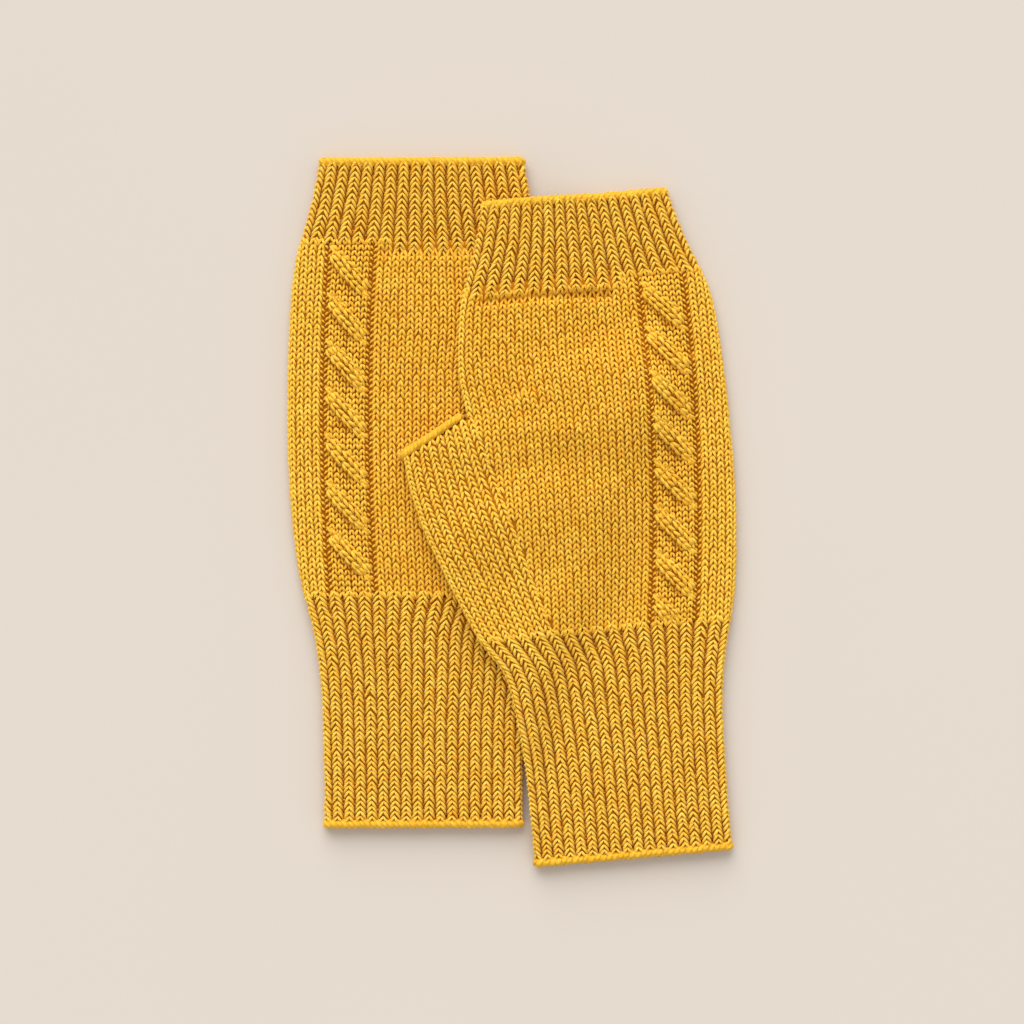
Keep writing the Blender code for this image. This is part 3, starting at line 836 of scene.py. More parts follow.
@dataclass(frozen=True)
class Rib(Knitting):
    """One by one rib all round a tube. Knit wales lie at the half numbers, purl at the whole."""

    thumb: Side

    def point(self, wale: Array, row: Array, out: float = 0.0) -> Array:
        """The point at a place of the rib, on its front, round its thumb's side or on its back.

        Args:
            wale: Places counted in ribs, from the front's edge beside the cable.
            row: Places counted in rows.
            out: How far the points lie out of the cloth.

        Returns:
            The points in the pair's frame.
        """
        along = self.along(row)
        width = self.mitten.fold_start(self.thumb, along) + self.mitten.fold_start(Side.CABLE, along)
        pitch = width / CLOTH.rib_count
        past = wale - CLOTH.rib_count
        turn = np.where(past < 0, past * pitch, np.minimum(past, CLOTH.fold_ribs) * CLOTH.fold_pitch)
        turn = turn + np.maximum(past - CLOTH.fold_ribs, 0) * pitch
        relief = np.where(past < CLOTH.fold_ribs, rib_relief(wale), 0.0)
        return self.mitten.wrap(self.thumb, turn, along, relief + out)


@dataclass(frozen=True)
class RibRun(Rib):
    """The finger rib's last rows, which run on over the palm below the seam."""

    def across(self, wale: Array, along: Array) -> Array:
        """Where a rib lies across the mitten.

        Args:
            wale: Places counted in ribs, from the front's edge beside the cable.
            along: Places from the wrist to the fingers.

        Returns:
            The places towards the thumb.
        """
        thumb = self.mitten.fold_start(self.thumb, along)
        width = thumb + self.mitten.fold_start(Side.CABLE, along)
        return thumb + (wale / CLOTH.rib_count - 1) * width

    def point(self, wale: Array, row: Array, out: float = 0.0) -> Array:
        """The point at a place counted in ribs and rows, moved out of the cloth."""
        along = self.along(row)
        return self.mitten.front(self.across(wale, along), along, rib_relief(wale) + out)

    def kept(self, wale: Array, row: Array) -> Array:
        """Which stitches lie on the palm and clear of the cable."""
        along = self.along(row)
        return self.across(wale, along) > self.mitten.rib_run_from(along)


@dataclass(frozen=True)
class RibFold(Knitting):
    """The two ribs round the folded side beside the cable."""

    def point(self, wale: Array, row: Array, out: float = 0.0) -> Array:
        """The point at a place counted in ribs from the front, and rows."""
        relief = rib_relief(wale) * np.where(wale < 1, 1.0, CLOTH.under_relief)
        return self.mitten.wrap(Side.CABLE, wale * CLOTH.fold_pitch, self.along(row), relief + out)


@dataclass(frozen=True)
class Palm(Knitting):
    """Plain knitting between the cable and the thumb's side, on the front or the back.

    Its outermost stitches tuck a share of their width under the gusset.
    """

    wales: int
    back: bool = False
    tuck: float = 0.15

    def across(self, wale: Array, along: Array) -> Array:
        """Where a wale lies across the mitten.

        Args:
            wale: Wale numbers, from the cable's side.
            along: Places from the wrist to the fingers.

        Returns:
            The places towards the thumb.
        """
        near = self.mitten.cable_middle(along) + CLOTH.cable_reach
        if self.back:
            near = -self.mitten.fold_start(Side.CABLE, along)
        far = self.mitten.fold_start(Side.HAND, np.maximum(along, CLOTH.crotch_along))
        return mix(near, far, wale / self.wales)

    def point(self, wale: Array, row: Array, out: float = 0.0) -> Array:
        """The point at a place of the palm.

        Args:
            wale: Places counted in wales, from the cable's side.
            row: Places counted in rows.
            out: How far the points lie out of the cloth.

        Returns:
            The points in the pair's frame.
        """
        along = self.along(row)
        layer = self.mitten.back if self.back else self.mitten.front
        return layer(self.across(wale, along), along, out)

    def kept(self, wale: Array, row: Array) -> Array:
        """Which stitches lie within the gusset line and below the end of the finger rib.

        Args:
            wale: The wale numbers of the stitches' middles.
            row: Their row numbers.

        Returns:
            True for each stitch that the palm has.
        """
        along = self.along(row)
        across = self.across(wale, along)
        pitch = self.across(wale + 0.5, along) - self.across(wale - 0.5, along)
        inside = across - self.tuck * pitch < self.mitten.palm_end(along)
        lowest = CLOTH.hand_top - CLOTH.rib_run + CLOTH.rib_run_merge
        ribbed = (along > lowest) & (across > self.mitten.rib_run_from(along))
        return inside & (self.back | ~ribbed)


@dataclass(frozen=True)
class SideStrip(Knitting):
    """Plain knitting beside the cable and round its folded side, parallel to the cable.

    Its last stitches reach a share of their width past the fold.
    """

    pitch: float
    past_fold: float = 0.4

    def turn(self, wale: Array, along: Array) -> Array:
        """Length of cloth from where the front turns under to a wale."""
        near = CLOTH.cable_reach - self.mitten.cable_middle(along)
        return near + wale * self.pitch - self.mitten.fold_start(Side.CABLE, along)

    def point(self, wale: Array, row: Array, out: float = 0.0) -> Array:
        """The point at a place of the strip.

        Args:
            wale: Places counted in wales, from the cable outwards.
            row: Places counted in rows.
            out: How far the points lie out of the cloth.

        Returns:
            The points in the pair's frame.
        """
        along = self.along(row)
        turn = self.turn(wale, along)
        across = -self.mitten.fold_start(Side.CABLE, along) - np.minimum(turn, 0.0)
        relief = np.where(turn < 0, self.mitten.hand_relief(across, along), 0.0)
        return self.mitten.wrap(Side.CABLE, turn, along, relief + out)

    def kept(self, wale: Array, row: Array) -> Array:
        """Which stitches lie on the front or round the fold."""
        return self.turn(wale, self.along(row)) < CLOTH.half_turn + self.past_fold * self.pitch


@dataclass(frozen=True)
class HandFold(Knitting):
    """Plain knitting round the hand's folded side, above the thumb."""

    round_wales: int

    def point(self, wale: Array, row: Array, out: float = 0.0) -> Array:
        """The point at a place counted in wales from the front, and rows."""
        turn = wale * CLOTH.half_turn / self.round_wales
        return self.mitten.wrap(Side.HAND, turn, self.along(row), out)


@dataclass(frozen=True)
class Gusset(Knitting):
    """The thumb gusset, all round: its front, its outer fold and its back.

    Its wales lean out from the palm and its rows turn with the slanted thumb opening, which they
    pass by an overlap that grows quickly from nothing at the crotch.
    """

    wales: int
    round_wales: int
    overlap: float = 0.0
    overlap_slope: float = 6.0

    def point(self, wale: Array, row: Array, out: float = 0.0) -> Array:
        """The point at a place of the gusset.

        Args:
            wale: Places counted in wales, from the palm's front round to its back.
            row: Places counted in rows.
            out: How far the points lie out of the cloth.

        Returns:
            The points in the pair's frame.
        """
        wale = np.asarray(wale, float)
        past_back = wale - self.wales - self.round_wales
        behind = past_back > 0
        share = np.where(behind, 1 - past_back / self.wales, np.minimum(wale / self.wales, 1.0))
        end = mix(CLOTH.crotch_along, CLOTH.thumb_tip_along, share)
        end = end + self.overlap * np.minimum(self.overlap_slope * share, 1.0)
        along = mix(self.start, end, row / self.rows)
        start = self.mitten.fold_start(Side.THUMB, along)
        across = mix(self.mitten.gusset_line(along), start, share)
        past = np.clip(wale - self.wales, 0.0, self.round_wales) * CLOTH.half_turn / self.round_wales
        turn = np.where(behind, CLOTH.half_turn + start - across, across - start + past)
        relief = np.where(wale < self.wales, self.mitten.hand_relief(across, along), 0.0)
        return self.mitten.wrap(Side.THUMB, turn, along, relief + out)


@dataclass(frozen=True)
class CableLanes(Knitting):
    """The cable's plain knitting between and under its lobes."""

    wales: int = 6

    def point(self, wale: Array, row: Array, out: float = 0.0) -> Array:
        """The point at a place of the cable.

        Args:
            wale: Places counted in wales across the cable.
            row: Places counted in rows.
            out: How far the points lie out of the cloth.

        Returns:
            The points in the pair's frame.
        """
        along = self.along(row)
        share = np.clip(wale / self.wales * 2 - 1, -1.0, 1.0)
        across = self.mitten.cable_middle(along) + share * CLOTH.cable_half_width
        rise = self.mitten.cable_ends(along, self.mitten.lane_rise(across, along))
        return self.mitten.front(across, along, rise + out)


@dataclass(frozen=True)
class CableLobe(Knitting):
    """The visible stretch of a cable strand, where it crosses the other.

    Its wales run along it and lie round its section. Start and end are not used.
    """

    number: int
    wales: int = 2
    section_angle: float = math.radians(66)
    reach: float = CLOTH.cable_half_width - 0.3 * MM

    def place(self, wale: Array, row: Array) -> tuple[Array, Array]:
        """Turn places counted in wales and rows into places of the lobe.

        Args:
            wale: Places counted in wales, from the lobe's side.
            row: Places counted in rows, upwards.

        Returns:
            How far down along the lobe they lie, and how far aside to its upper right.
        """
        down = (1 - 2 * row / self.rows) * CLOTH.lobe_half_length
        angle = (wale / self.wales * 2 - 1) * self.section_angle * self.mitten.thumb_to
        return down, np.sin(angle) * self.mitten.lobe_width(down)

    def point(self, wale: Array, row: Array, out: float = 0.0) -> Array:
        """The point at a place of the lobe.

        Args:
            wale: Places counted in wales, from the lobe's side.
            row: Places counted in rows, upwards.
            out: How far the points lie out of the cloth.

        Returns:
            The points in the pair's frame.
        """
        down, aside = self.place(wale, row)
        across, along = self.mitten.lobe_place(self.number, down, aside)
        rise = self.mitten.cable_ends(along, self.mitten.lobe_rise(down, aside))
        return self.mitten.front(across, along, rise + out)

    def kept(self, wale: Array, row: Array) -> Array:
        """Which stitches of the lobe lie within the cable.

        Args:
            wale: The wale numbers of the stitches' middles.
            row: Their row numbers.

        Returns:
            True for each stitch that the lobe has.
        """
        across, along = self.mitten.lobe_place(self.number, *self.place(wale, row))
        aside = np.abs(across - self.mitten.cable_middle(along))
        return (along > CLOTH.hand_start) & (along < CLOTH.hand_top) & (aside < self.reach)


@dataclass(frozen=True)
class Channel(Knitting):
    """A purl channel, one wale wide, beside the cable.

    Beside is -1 or 1, and its stitches are sunk by a share of the channel's depth.
    """

    beside: int
    sunk: float = 0.4

    def point(self, wale: Array, row: Array, out: float = 0.0) -> Array:
        """The point at a place of the channel.

        Args:
            wale: Places across the channel, from -0.5 to 0.5.
            row: Places counted in rows.
            out: How far the points lie out of the cloth.

        Returns:
            The points in the pair's frame.
        """
        along = self.along(row)
        middle = CLOTH.cable_half_width + CLOTH.channel_width / 2
        across = self.mitten.cable_middle(along) + self.beside * middle + wale * CLOTH.channel_width
        return self.mitten.front(across, along, out - self.sunk * CLOTH.channel_depth)


@dataclass(frozen=True)
class Roll(Knitting):
    """A rolled edge: a thick ring of knitting along a flattened opening.

    Its wales are counted round its section and its rows round the opening. Start and end of the
    ring's middle line are places across and along.
    """

    ring_start: tuple[float, float]
    ring_end: tuple[float, float]

    @property
    def radius(self) -> float:
        """Radius of the ring's turn at a folded side."""
        return (CLOTH.flat + CLOTH.roll_proud - CLOTH.roll_deep) / 2

    @property
    def straight(self) -> float:
        """Length of the ring's straight stretches."""
        return math.dist(self.ring_start, self.ring_end) - 2 * self.radius

    @property
    def girth(self) -> float:
        """Length once round the ring."""
        return 2 * self.straight + 2 * math.pi * self.radius

    def point(self, wale: Array, row: Array, out: float = 0.0) -> Array:
        """The point at a place round the section, in turns, and round the ring, in rows.

        Args:
            wale: Places round the roll's section, in turns.
            row: Places round the opening, in rows.
            out: How far the points lie out of the roll.

        Returns:
            The points in the pair's frame.
        """
        place = np.mod(row / self.rows, 1.0) * self.girth
        half = math.pi * self.radius
        first = np.clip(place, 0.0, self.straight)
        first_bend = np.clip(place - self.straight, 0.0, half)
        second = np.clip(place - self.straight - half, 0.0, self.straight)
        second_bend = np.clip(place - 2 * self.straight - half, 0.0, half)
        angle = math.pi / 2 - (first_bend + second_bend) / self.radius
        distance = self.radius + first - second
        section = 2 * math.pi * wale
        reach = self.radius + (CLOTH.roll_deep / 2 + out) * np.cos(section)
        aside = (CLOTH.edge_tall / 2 + out) * np.sin(section)
        start, end = np.array(self.ring_start), np.array(self.ring_end)
        ahead = (end - start) / np.linalg.norm(end - start)
        run = distance + reach * np.cos(angle)
        across = start[0] + ahead[0] * run - ahead[1] * aside
        along = start[1] + ahead[1] * run + ahead[0] * aside
        height = (CLOTH.flat + CLOTH.roll_proud) / 2 + reach * np.sin(angle)
        return self.mitten.place(across, along, height)


def add_node(tree: bpy.types.NodeTree, kind: str, settings: dict | None = None,
             links: dict | None = None) -> bpy.types.Node:
    """Add a shader node with its settings and its links.

    Args:
        tree: The material's node tree.
        kind: The node's type name.
        settings: Values by name. A name of one of the node's own properties sets that, and any
            other name or number is an input socket's.
        links: Output sockets by the name or number of the input that they go to.

    Returns:
        The new node.
    """
    node = tree.nodes.new(kind)
    for name, value in (settings or {}).items():
        if isinstance(name, str) and hasattr(node, name):
            setattr(node, name, value)
        else:
            node.inputs[name].default_value = value
    for name, socket in (links or {}).items():
        tree.links.new(socket, node.inputs[name])
    return node


def linear(code: str) -> tuple[float, float, float, float]:
    """Turn an sRGB hex colour into linear red, green, blue and alpha.

    Args:
        code: The colour, such as "#ffffff".

    Returns:
        The four shares, from 0 to 1.
    """
    parts = [int(code[i:i + 2], 16) / 255 for i in (1, 3, 5)]
    bent = [c / 12.92 if c <= 0.04045 else ((c + 0.055) / 1.055) ** 2.4 for c in parts]
    return bent[0], bent[1], bent[2], 1.0


def start_material(name: str, roughness: float,
                   specular: float) -> tuple[bpy.types.Material, bpy.types.Node]:
    """Start a material with its even qualities.

    Args:
        name: The material's name.
        roughness: How matt it is, from 0 to 1.
        specular: How strongly it reflects, from 0 to 1.

    Returns:
        The material and its shader.
    """
    material = bpy.data.materials.new(name)
    material.use_nodes = True
    shader = material.node_tree.nodes["Principled BSDF"]
    shader.inputs["Roughness"].default_value = roughness
    shader.inputs["Specular IOR Level"].default_value = specular
    return material, shader


@dataclass(frozen=True)
class SpunWool:
    """Dyed sheep's wool, spun from two plies: dry, soft and a little fuzzy.

    The light and deep colours vary at random from stitch to stitch as the dye and the spinning do,
    and the yarn's shade attribute also carries painted light and painted shade on some stretches.
    The twist of the plies shows as fine slanted ridges, and the sheen is the halo of loose fibres.
    """

    name: str
    light: str
    deep: str
    roughness: float = 0.9
    specular: float = 0.25
    sheen: float = 0.20
    sheen_roughness: float = 0.5
    sheen_tint: str = "#ffe39a"
    patch_mm: float = 14.0
    patch_detail: float = 2.0
    patch_range: float = 0.30
    fibre_mm: float = 0.25
    fibre_detail: float = 3.0
    fibre_range: float = 0.36
    ply_pitch_mm: float = 1.1
    plies: float = 2.0
    ply_share: float = 0.5
    ply_depth: float = 0.10 * MM
    ply_strength: float = 0.6

    def make(self) -> bpy.types.Material:
        """Build the material.

        Returns:
            The wool, whose shade is read from the yarn's own attribute.
        """
        material, shader = start_material(self.name, self.roughness, self.specular)
        tree = material.node_tree
        shader.inputs["Sheen Weight"].default_value = self.sheen
        shader.inputs["Sheen Roughness"].default_value = self.sheen_roughness
        shader.inputs["Sheen Tint"].default_value = linear(self.sheen_tint)
        place = add_node(tree, "ShaderNodeTexCoord")
        shade = add_node(tree, "ShaderNodeAttribute", {"attribute_name": "shade"})
        noises = (
            (self.patch_mm, self.patch_detail, self.patch_range),
            (self.fibre_mm, self.fibre_detail, self.fibre_range),
        )
        tone = shade.outputs["Fac"]
        for size_mm, detail, spread in noises:
            noise = add_node(tree, "ShaderNodeTexNoise", {"Scale": 1 / (size_mm * MM), "Detail": detail},
                             {"Vector": place.outputs["Object"]})
            uneven = add_node(tree, "ShaderNodeMath",
                              {"operation": "MULTIPLY_ADD", 1: spread, 2: -spread / 2},
                              {0: noise.outputs["Fac"]})
            total = add_node(tree, "ShaderNodeMath", {"operation": "ADD"}, {0: tone, 1: uneven.outputs[0]})
            tone = total.outputs[0]
        total.use_clamp = True
        colour = add_node(tree, "ShaderNodeMix", {"data_type": "RGBA"}, {"Factor": tone})
        colour.inputs[6].default_value = linear(self.deep)
        colour.inputs[7].default_value = linear(self.light)
        tree.links.new(colour.outputs[2], shader.inputs["Base Color"])
        turns = add_node(tree, "ShaderNodeVectorMath", {"operation": "DOT_PRODUCT"},
                         {0: place.outputs["UV"]})
        turns.inputs[1].default_value = (1 / self.ply_pitch_mm, self.plies, 0.0)
        wave = add_node(tree, "ShaderNodeMath", {"operation": "MULTIPLY", 1: 2 * math.pi},
                        {0: turns.outputs["Value"]})
        ridge = add_node(tree, "ShaderNodeMath", {"operation": "SINE"}, {0: wave.outputs[0]})
        height = add_node(tree, "ShaderNodeMath", {"operation": "MULTIPLY_ADD", 1: self.ply_share},
                          {0: ridge.outputs[0], 2: noise.outputs["Fac"]})
        bump = add_node(tree, "ShaderNodeBump", {"Strength": self.ply_strength, "Distance": self.ply_depth},
                        {"Height": height.outputs[0]})
        tree.links.new(bump.outputs["Normal"], shader.inputs["Normal"])
        return material


@dataclass(frozen=True)
class LoopGround:
    """The same wool where it lies behind the stitches, seen in the gaps between them.

    Its colours are painted darker than the yarn's: painted shade that gives the small dark holes of the
    knitting their deep orange brown.
    """

    name: str
    deep: str
    darkest: str
    roughness: float = 0.95
    specular: float = 0.1
    stitch_mm: float = 1.2
    detail: float = 2.0
    relief: float = 0.2 * MM
    relief_strength: float = 0.8

    def make(self) -> bpy.types.Material:
        """Build the material.

        Returns:
            The wool behind the stitches in painted shade, mottled like the loops that lie there.
        """
        material, shader = start_material(self.name, self.roughness, self.specular)
        tree = material.node_tree
        place = add_node(tree, "ShaderNodeTexCoord")
        loops = add_node(tree, "ShaderNodeTexNoise",
                         {"Scale": 1 / (self.stitch_mm * MM), "Detail": self.detail},
                         {"Vector": place.outputs["Object"]})
        colour = add_node(tree, "ShaderNodeMix", {"data_type": "RGBA"}, {"Factor": loops.outputs["Fac"]})
        colour.inputs[6].default_value = linear(self.darkest)
        colour.inputs[7].default_value = linear(self.deep)
        tree.links.new(colour.outputs[2], shader.inputs["Base Color"])
        bump = add_node(tree, "ShaderNodeBump",
                        {"Strength": self.relief_strength, "Distance": self.relief},
                        {"Height": loops.outputs["Fac"]})
        tree.links.new(bump.outputs["Normal"], shader.inputs["Normal"])
        return material


@dataclass(frozen=True)
class PaintedBoard:
    """A matt painted board: pale, even and faintly mottled."""

    name: str
    colour: str
    mottle: str
    roughness: float = 0.9
    specular: float = 0.1
    cloud_scale: float = 3.0
    cloud_detail: float = 3.0

    def make(self) -> bpy.types.Material:
        """Build the material.

        Returns:
            The paint, with clouds as wide as a hand.
        """
        material, shader = start_material(self.name, self.roughness, self.specular)
        tree = material.node_tree
        place = add_node(tree, "ShaderNodeTexCoord")
        cloud = add_node(tree, "ShaderNodeTexNoise",
                         {"Scale": self.cloud_scale, "Detail": self.cloud_detail},
                         {"Vector": place.outputs["Object"]})
        colour = add_node(tree, "ShaderNodeMix", {"data_type": "RGBA"}, {"Factor": cloud.outputs["Fac"]})
        colour.inputs[6].default_value = linear(self.colour)
        colour.inputs[7].default_value = linear(self.mottle)
        tree.links.new(colour.outputs[2], shader.inputs["Base Color"])
        return material


HAND_WOOL = SpunWool("spun_wool_plain_stitch", light="#ffd34c", deep="#eba314")
# The ribs' wool is the hand's yarn painted a little lighter: painted light that brightens the ribbed bands
# against their darker grooves.
RIB_WOOL_PAINTED_LIGHTER = SpunWool("spun_wool_rib_painted_lighter", light="#ffd95a", deep="#f0ac1c")
EDGE_WOOL = SpunWool("spun_wool_rolled_edge", light="#fccb3c", deep="#e8a81e")
# The ground's colours are painted shade: darker than the yarn, they darken the gaps between the stitches.
GROUND_PAINTED_SHADE = LoopGround("loop_ground_painted_shade", deep="#c87c0a", darkest="#a26008")
# The rib grooves' ground is painted darker still: painted shade deep in the grooves between the ribs.
GROOVE_PAINTED_SHADE = LoopGround("rib_groove_painted_shade", deep="#bc7408", darkest="#965808")
BOARD = PaintedBoard("painted_board", colour="#d8cec3", mottle="#d5cbbf")


@dataclass
class YarnPile:
    """Lengths of yarn gathered for one joined mesh.

    Each wanders by a share of a stitch, and varies in thickness, depth and tone.
    """

    name: str
    seed: int
    wander_across: float = 0.03
    wander_up: float = 0.06
    vary_size: float = 0.07
    vary_depth: float = 0.05 * MM
    vary_tone: float = 0.12
    slope_step: float = 0.04
    outward_step: float = 0.5 * MM
    floor_clear: float = 0.02 * MM
    points: list[Array] = field(default_factory=list)
    faces: list[Array] = field(default_factory=list)
    caps: list[Array] = field(default_factory=list)
    uvs: list[Array] = field(default_factory=list)
    cap_uvs: list[Array] = field(default_factory=list)
    shades: list[Array] = field(default_factory=list)
    count: int = 0

    def add(self, knitting: Knitting, strand: Strand, wales: tuple[float, ...],
            shade: float = 0.5) -> None:
        """Lay one form of strand at every stitch of a stretch of knitting.

        Args:
            knitting: The stretch of knitting.
            strand: The form of the strand.
            wales: The wale numbers that it lies at.
            shade: How light its yarn is, from 0 to 1. Some stretches get painted light here, and some
                painted shade.
        """
        wale, row = knitting.stitches(wales)
        if wale.size == 0:
            return
        rng = np.random.default_rng(self.seed + self.count)
        hands = (-1.0, 1.0) if strand.paired else (1.0,)
        wale = np.tile(wale, len(hands)) + rng.normal(0, self.wander_across, wale.size * len(hands))
        hand = np.repeat(hands, row.size)
        row = np.tile(row, len(hands)) + rng.normal(0, self.wander_up, row.size * len(hands))
        size = rng.normal(1, self.vary_size, row.size)
        depth = rng.normal(0, self.vary_depth, row.size)
        i = wale[:, None] + hand[:, None] * np.array(strand.across)
        j = row[:, None] + np.array(strand.up)
        self.lay(knitting, strand, i, j, size, depth)
        tones = shade + rng.normal(0, self.vary_tone, row.size)
        self.shades.append(np.repeat(tones, len(strand.up) * strand.sides))

    def lay(self, knitting: Knitting, strand: Strand, i: Array, j: Array, size: Array,
            depth: Array) -> None:
        """Make the points, faces and map of strands whose middle lines are known.

        Args:
            knitting: The stretch of knitting that they lie on.
            strand: The form of the strand.
            i: Wale numbers, a row for each strand.
            j: Row numbers, a row for each strand.
            size: Each strand's thickness, as a share of the usual one.
            depth: How far out each strand is moved.
        """
        step = self.slope_step
        out = np.array(strand.out) + depth[:, None]
        ground = knitting.point(i, j)
        across = knitting.point(i + step, j) - knitting.point(i - step, j)
        up = knitting.point(i, j + step) - knitting.point(i, j - step)
        normal = np.cross(across, up)
        normal /= np.linalg.norm(normal, axis=-1, keepdims=True) + TINY
        outside = knitting.point(i, j, self.outward_step) - ground
        normal *= np.where(np.sum(normal * outside, axis=-1, keepdims=True) < 0, -1.0, 1.0)
        middle = ground + normal * out[..., None]
        ahead = np.gradient(middle, axis=1)
        ahead /= np.linalg.norm(ahead, axis=-1, keepdims=True) + TINY
        aside = np.cross(ahead, normal)
        aside /= np.linalg.norm(aside, axis=-1, keepdims=True) + TINY
        upward = np.cross(aside, ahead)
        sides = strand.sides
        turn = 2 * math.pi * (np.arange(sides) / sides) + math.pi / 2
        wide = np.array(strand.half_width) * size[:, None]
        deep = np.array(strand.half_depth) * size[:, None]
        ring = (
            middle[:, :, None]
            + aside[:, :, None] * (wide[:, :, None] * np.cos(turn))[..., None]
            + upward[:, :, None] * (deep[:, :, None] * np.sin(turn))[..., None]
        )
        strands, stations = ring.shape[:2]
        first = self.count + np.arange(strands)[:, None, None] * stations * sides
        ring_at = first + np.arange(stations)[None, :, None] * sides + np.arange(sides)
        after = np.roll(ring_at, -1, axis=2)
        quads = np.stack([ring_at[:, :-1], ring_at[:, 1:], after[:, 1:], after[:, :-1]], axis=-1)
        self.faces.append(quads.reshape(-1, 4))
        self.caps.append(ring_at[:, 0])
        self.caps.append(ring_at[:, -1, ::-1])
        length = np.linalg.norm(np.diff(middle, axis=1), axis=-1) / MM
        length = np.concatenate([np.zeros((strands, 1)), np.cumsum(length, axis=1)], axis=1)
        around = np.arange(sides + 1) / sides
        start_u = np.broadcast_to(length[:, :-1, None], quads.shape[:3])
        end_u = np.broadcast_to(length[:, 1:, None], quads.shape[:3])
        near_v = np.broadcast_to(around[:-1], quads.shape[:3])
        far_v = np.broadcast_to(around[1:], quads.shape[:3])
        corners = [(start_u, near_v), (end_u, near_v), (end_u, far_v), (start_u, far_v)]
        self.uvs.append(np.stack([np.stack(c, axis=-1) for c in corners], axis=-2).reshape(-1, 2))
        for end in (0, -1):
            cap = np.stack(np.broadcast_arrays(length[:, end, None], around[:-1]), axis=-1)
            self.cap_uvs.append((cap if end == 0 else cap[:, ::-1]).reshape(-1, 2))
        self.points.append(ring.reshape(-1, 3))
        self.count += strands * stations * sides

    def make(self, mitten: Mitten, material: bpy.types.Material) -> bpy.types.Object:
        """Join the strands into one mesh.

        Args:
            mitten: The mitten that they lie on, whose underside they don't pass.
            material: The finish of the yarn.

        Returns:
            The new object.
        """
        points = np.concatenate(self.points)
        floor = mitten.base_height(points[:, 0], points[:, 1]) + self.floor_clear
        points[:, 2] = np.maximum(points[:, 2], floor)
        quads = np.concatenate(self.faces)
        loops = [quads.ravel()] + [cap.ravel() for cap in self.caps]
        sizes = [np.full(len(quads), 4)] + [np.full(len(cap), cap.shape[1]) for cap in self.caps]
        mesh = bpy.data.meshes.new(self.name)
        totals = np.concatenate(sizes)
        corners = np.concatenate(loops)
        mesh.vertices.add(len(points))
        mesh.vertices.foreach_set("co", points.astype(np.float32).ravel())
        mesh.loops.add(len(corners))
        mesh.loops.foreach_set("vertex_index", corners.astype(np.int32))
        mesh.polygons.add(len(totals))
        starts = np.concatenate([[0], np.cumsum(totals)[:-1]])
        mesh.polygons.foreach_set("loop_start", starts.astype(np.int32))
        mesh.update(calc_edges=True)
        mesh.validate()
        layer = mesh.uv_layers.new(name="yarn")
        layer.uv.foreach_set("vector", np.concatenate(self.uvs + self.cap_uvs).astype(np.float32).ravel())
        shade = mesh.attributes.new("shade", "FLOAT", "POINT")
        shade.data.foreach_set("value", np.concatenate(self.shades).astype(np.float32))
        mesh.shade_smooth()
        mesh.materials.append(material)
        piece = bpy.data.objects.new(self.name, mesh)
        bpy.context.scene.collection.objects.link(piece)
        return piece


@dataclass(frozen=True)
class GroundCloth:
    """Makes the thin shell that the stitches lie on."""

    sunk: float = 0.75 * MM
    wall: float = 1.1 * MM
    weld: float = 0.001 * MM

    def make(self, name: str, grids: list[Array], material: bpy.types.Material,
             closed_along: bool = False) -> bpy.types.Object:
        """Skin grids of points that are closed across, and give the skin its thickness.

        Args:
            name: The object's name.
            grids: Arrays of points, whose first axis runs along and second all round.
            material: The finish of the cloth.
            closed_along: True for a ring, which is closed both ways and stays solid.

        Returns:
            The new object.
        """
        mesh = bmesh.new()
        for grid in grids:
            vertices = [[mesh.verts.new(point) for point in line] for line in grid]
            pairs = list(zip(vertices, vertices[1:]))
            if closed_along:
                pairs.append((vertices[-1], vertices[0]))
            for line, following in pairs:
                for k in range(len(line)):
                    after = (k + 1) % len(line)
                    mesh.faces.new((line[k], line[after], following[after], following[k]))
        bmesh.ops.remove_doubles(mesh, verts=mesh.verts, dist=self.weld)
        bmesh.ops.recalc_face_normals(mesh, faces=mesh.faces)
        data = bpy.data.meshes.new(name)
        mesh.to_mesh(data)
        mesh.free()
        data.materials.append(material)
        piece = bpy.data.objects.new(name, data)
        bpy.context.scene.collection.objects.link(piece)
        if not closed_along:
            self.thicken(piece)
        piece.data.shade_smooth()
        return piece

    def thicken(self, piece: bpy.types.Object) -> None:
        """Give a skin its wall, inwards.

        Args:
            piece: The skin, with its normals outwards.
        """
        solidify = piece.modifiers.new("wall", "SOLIDIFY")
        solidify.thickness = self.wall
        solidify.offset = -1.0
        deselect()
        bpy.context.view_layer.objects.active = piece
        piece.select_set(True)
        bpy.ops.object.modifier_apply(modifier=solidify.name)
        piece.select_set(False)


def deselect() -> None:
    """Leave nothing selected."""
    for thing in bpy.context.selected_objects:
        thing.select_set(False)


@dataclass
class Finishes:
    """The materials, each made once."""

    hand: bpy.types.Material
    rib: bpy.types.Material
    edge: bpy.types.Material
    ground: bpy.types.Material
    groove: bpy.types.Material

    @classmethod
    def make(cls) -> "Finishes":
        """Build all the wool finishes."""
        wools = HAND_WOOL, RIB_WOOL_PAINTED_LIGHTER, EDGE_WOOL, GROUND_PAINTED_SHADE, GROOVE_PAINTED_SHADE
        return cls(*(wool.make() for wool in wools))


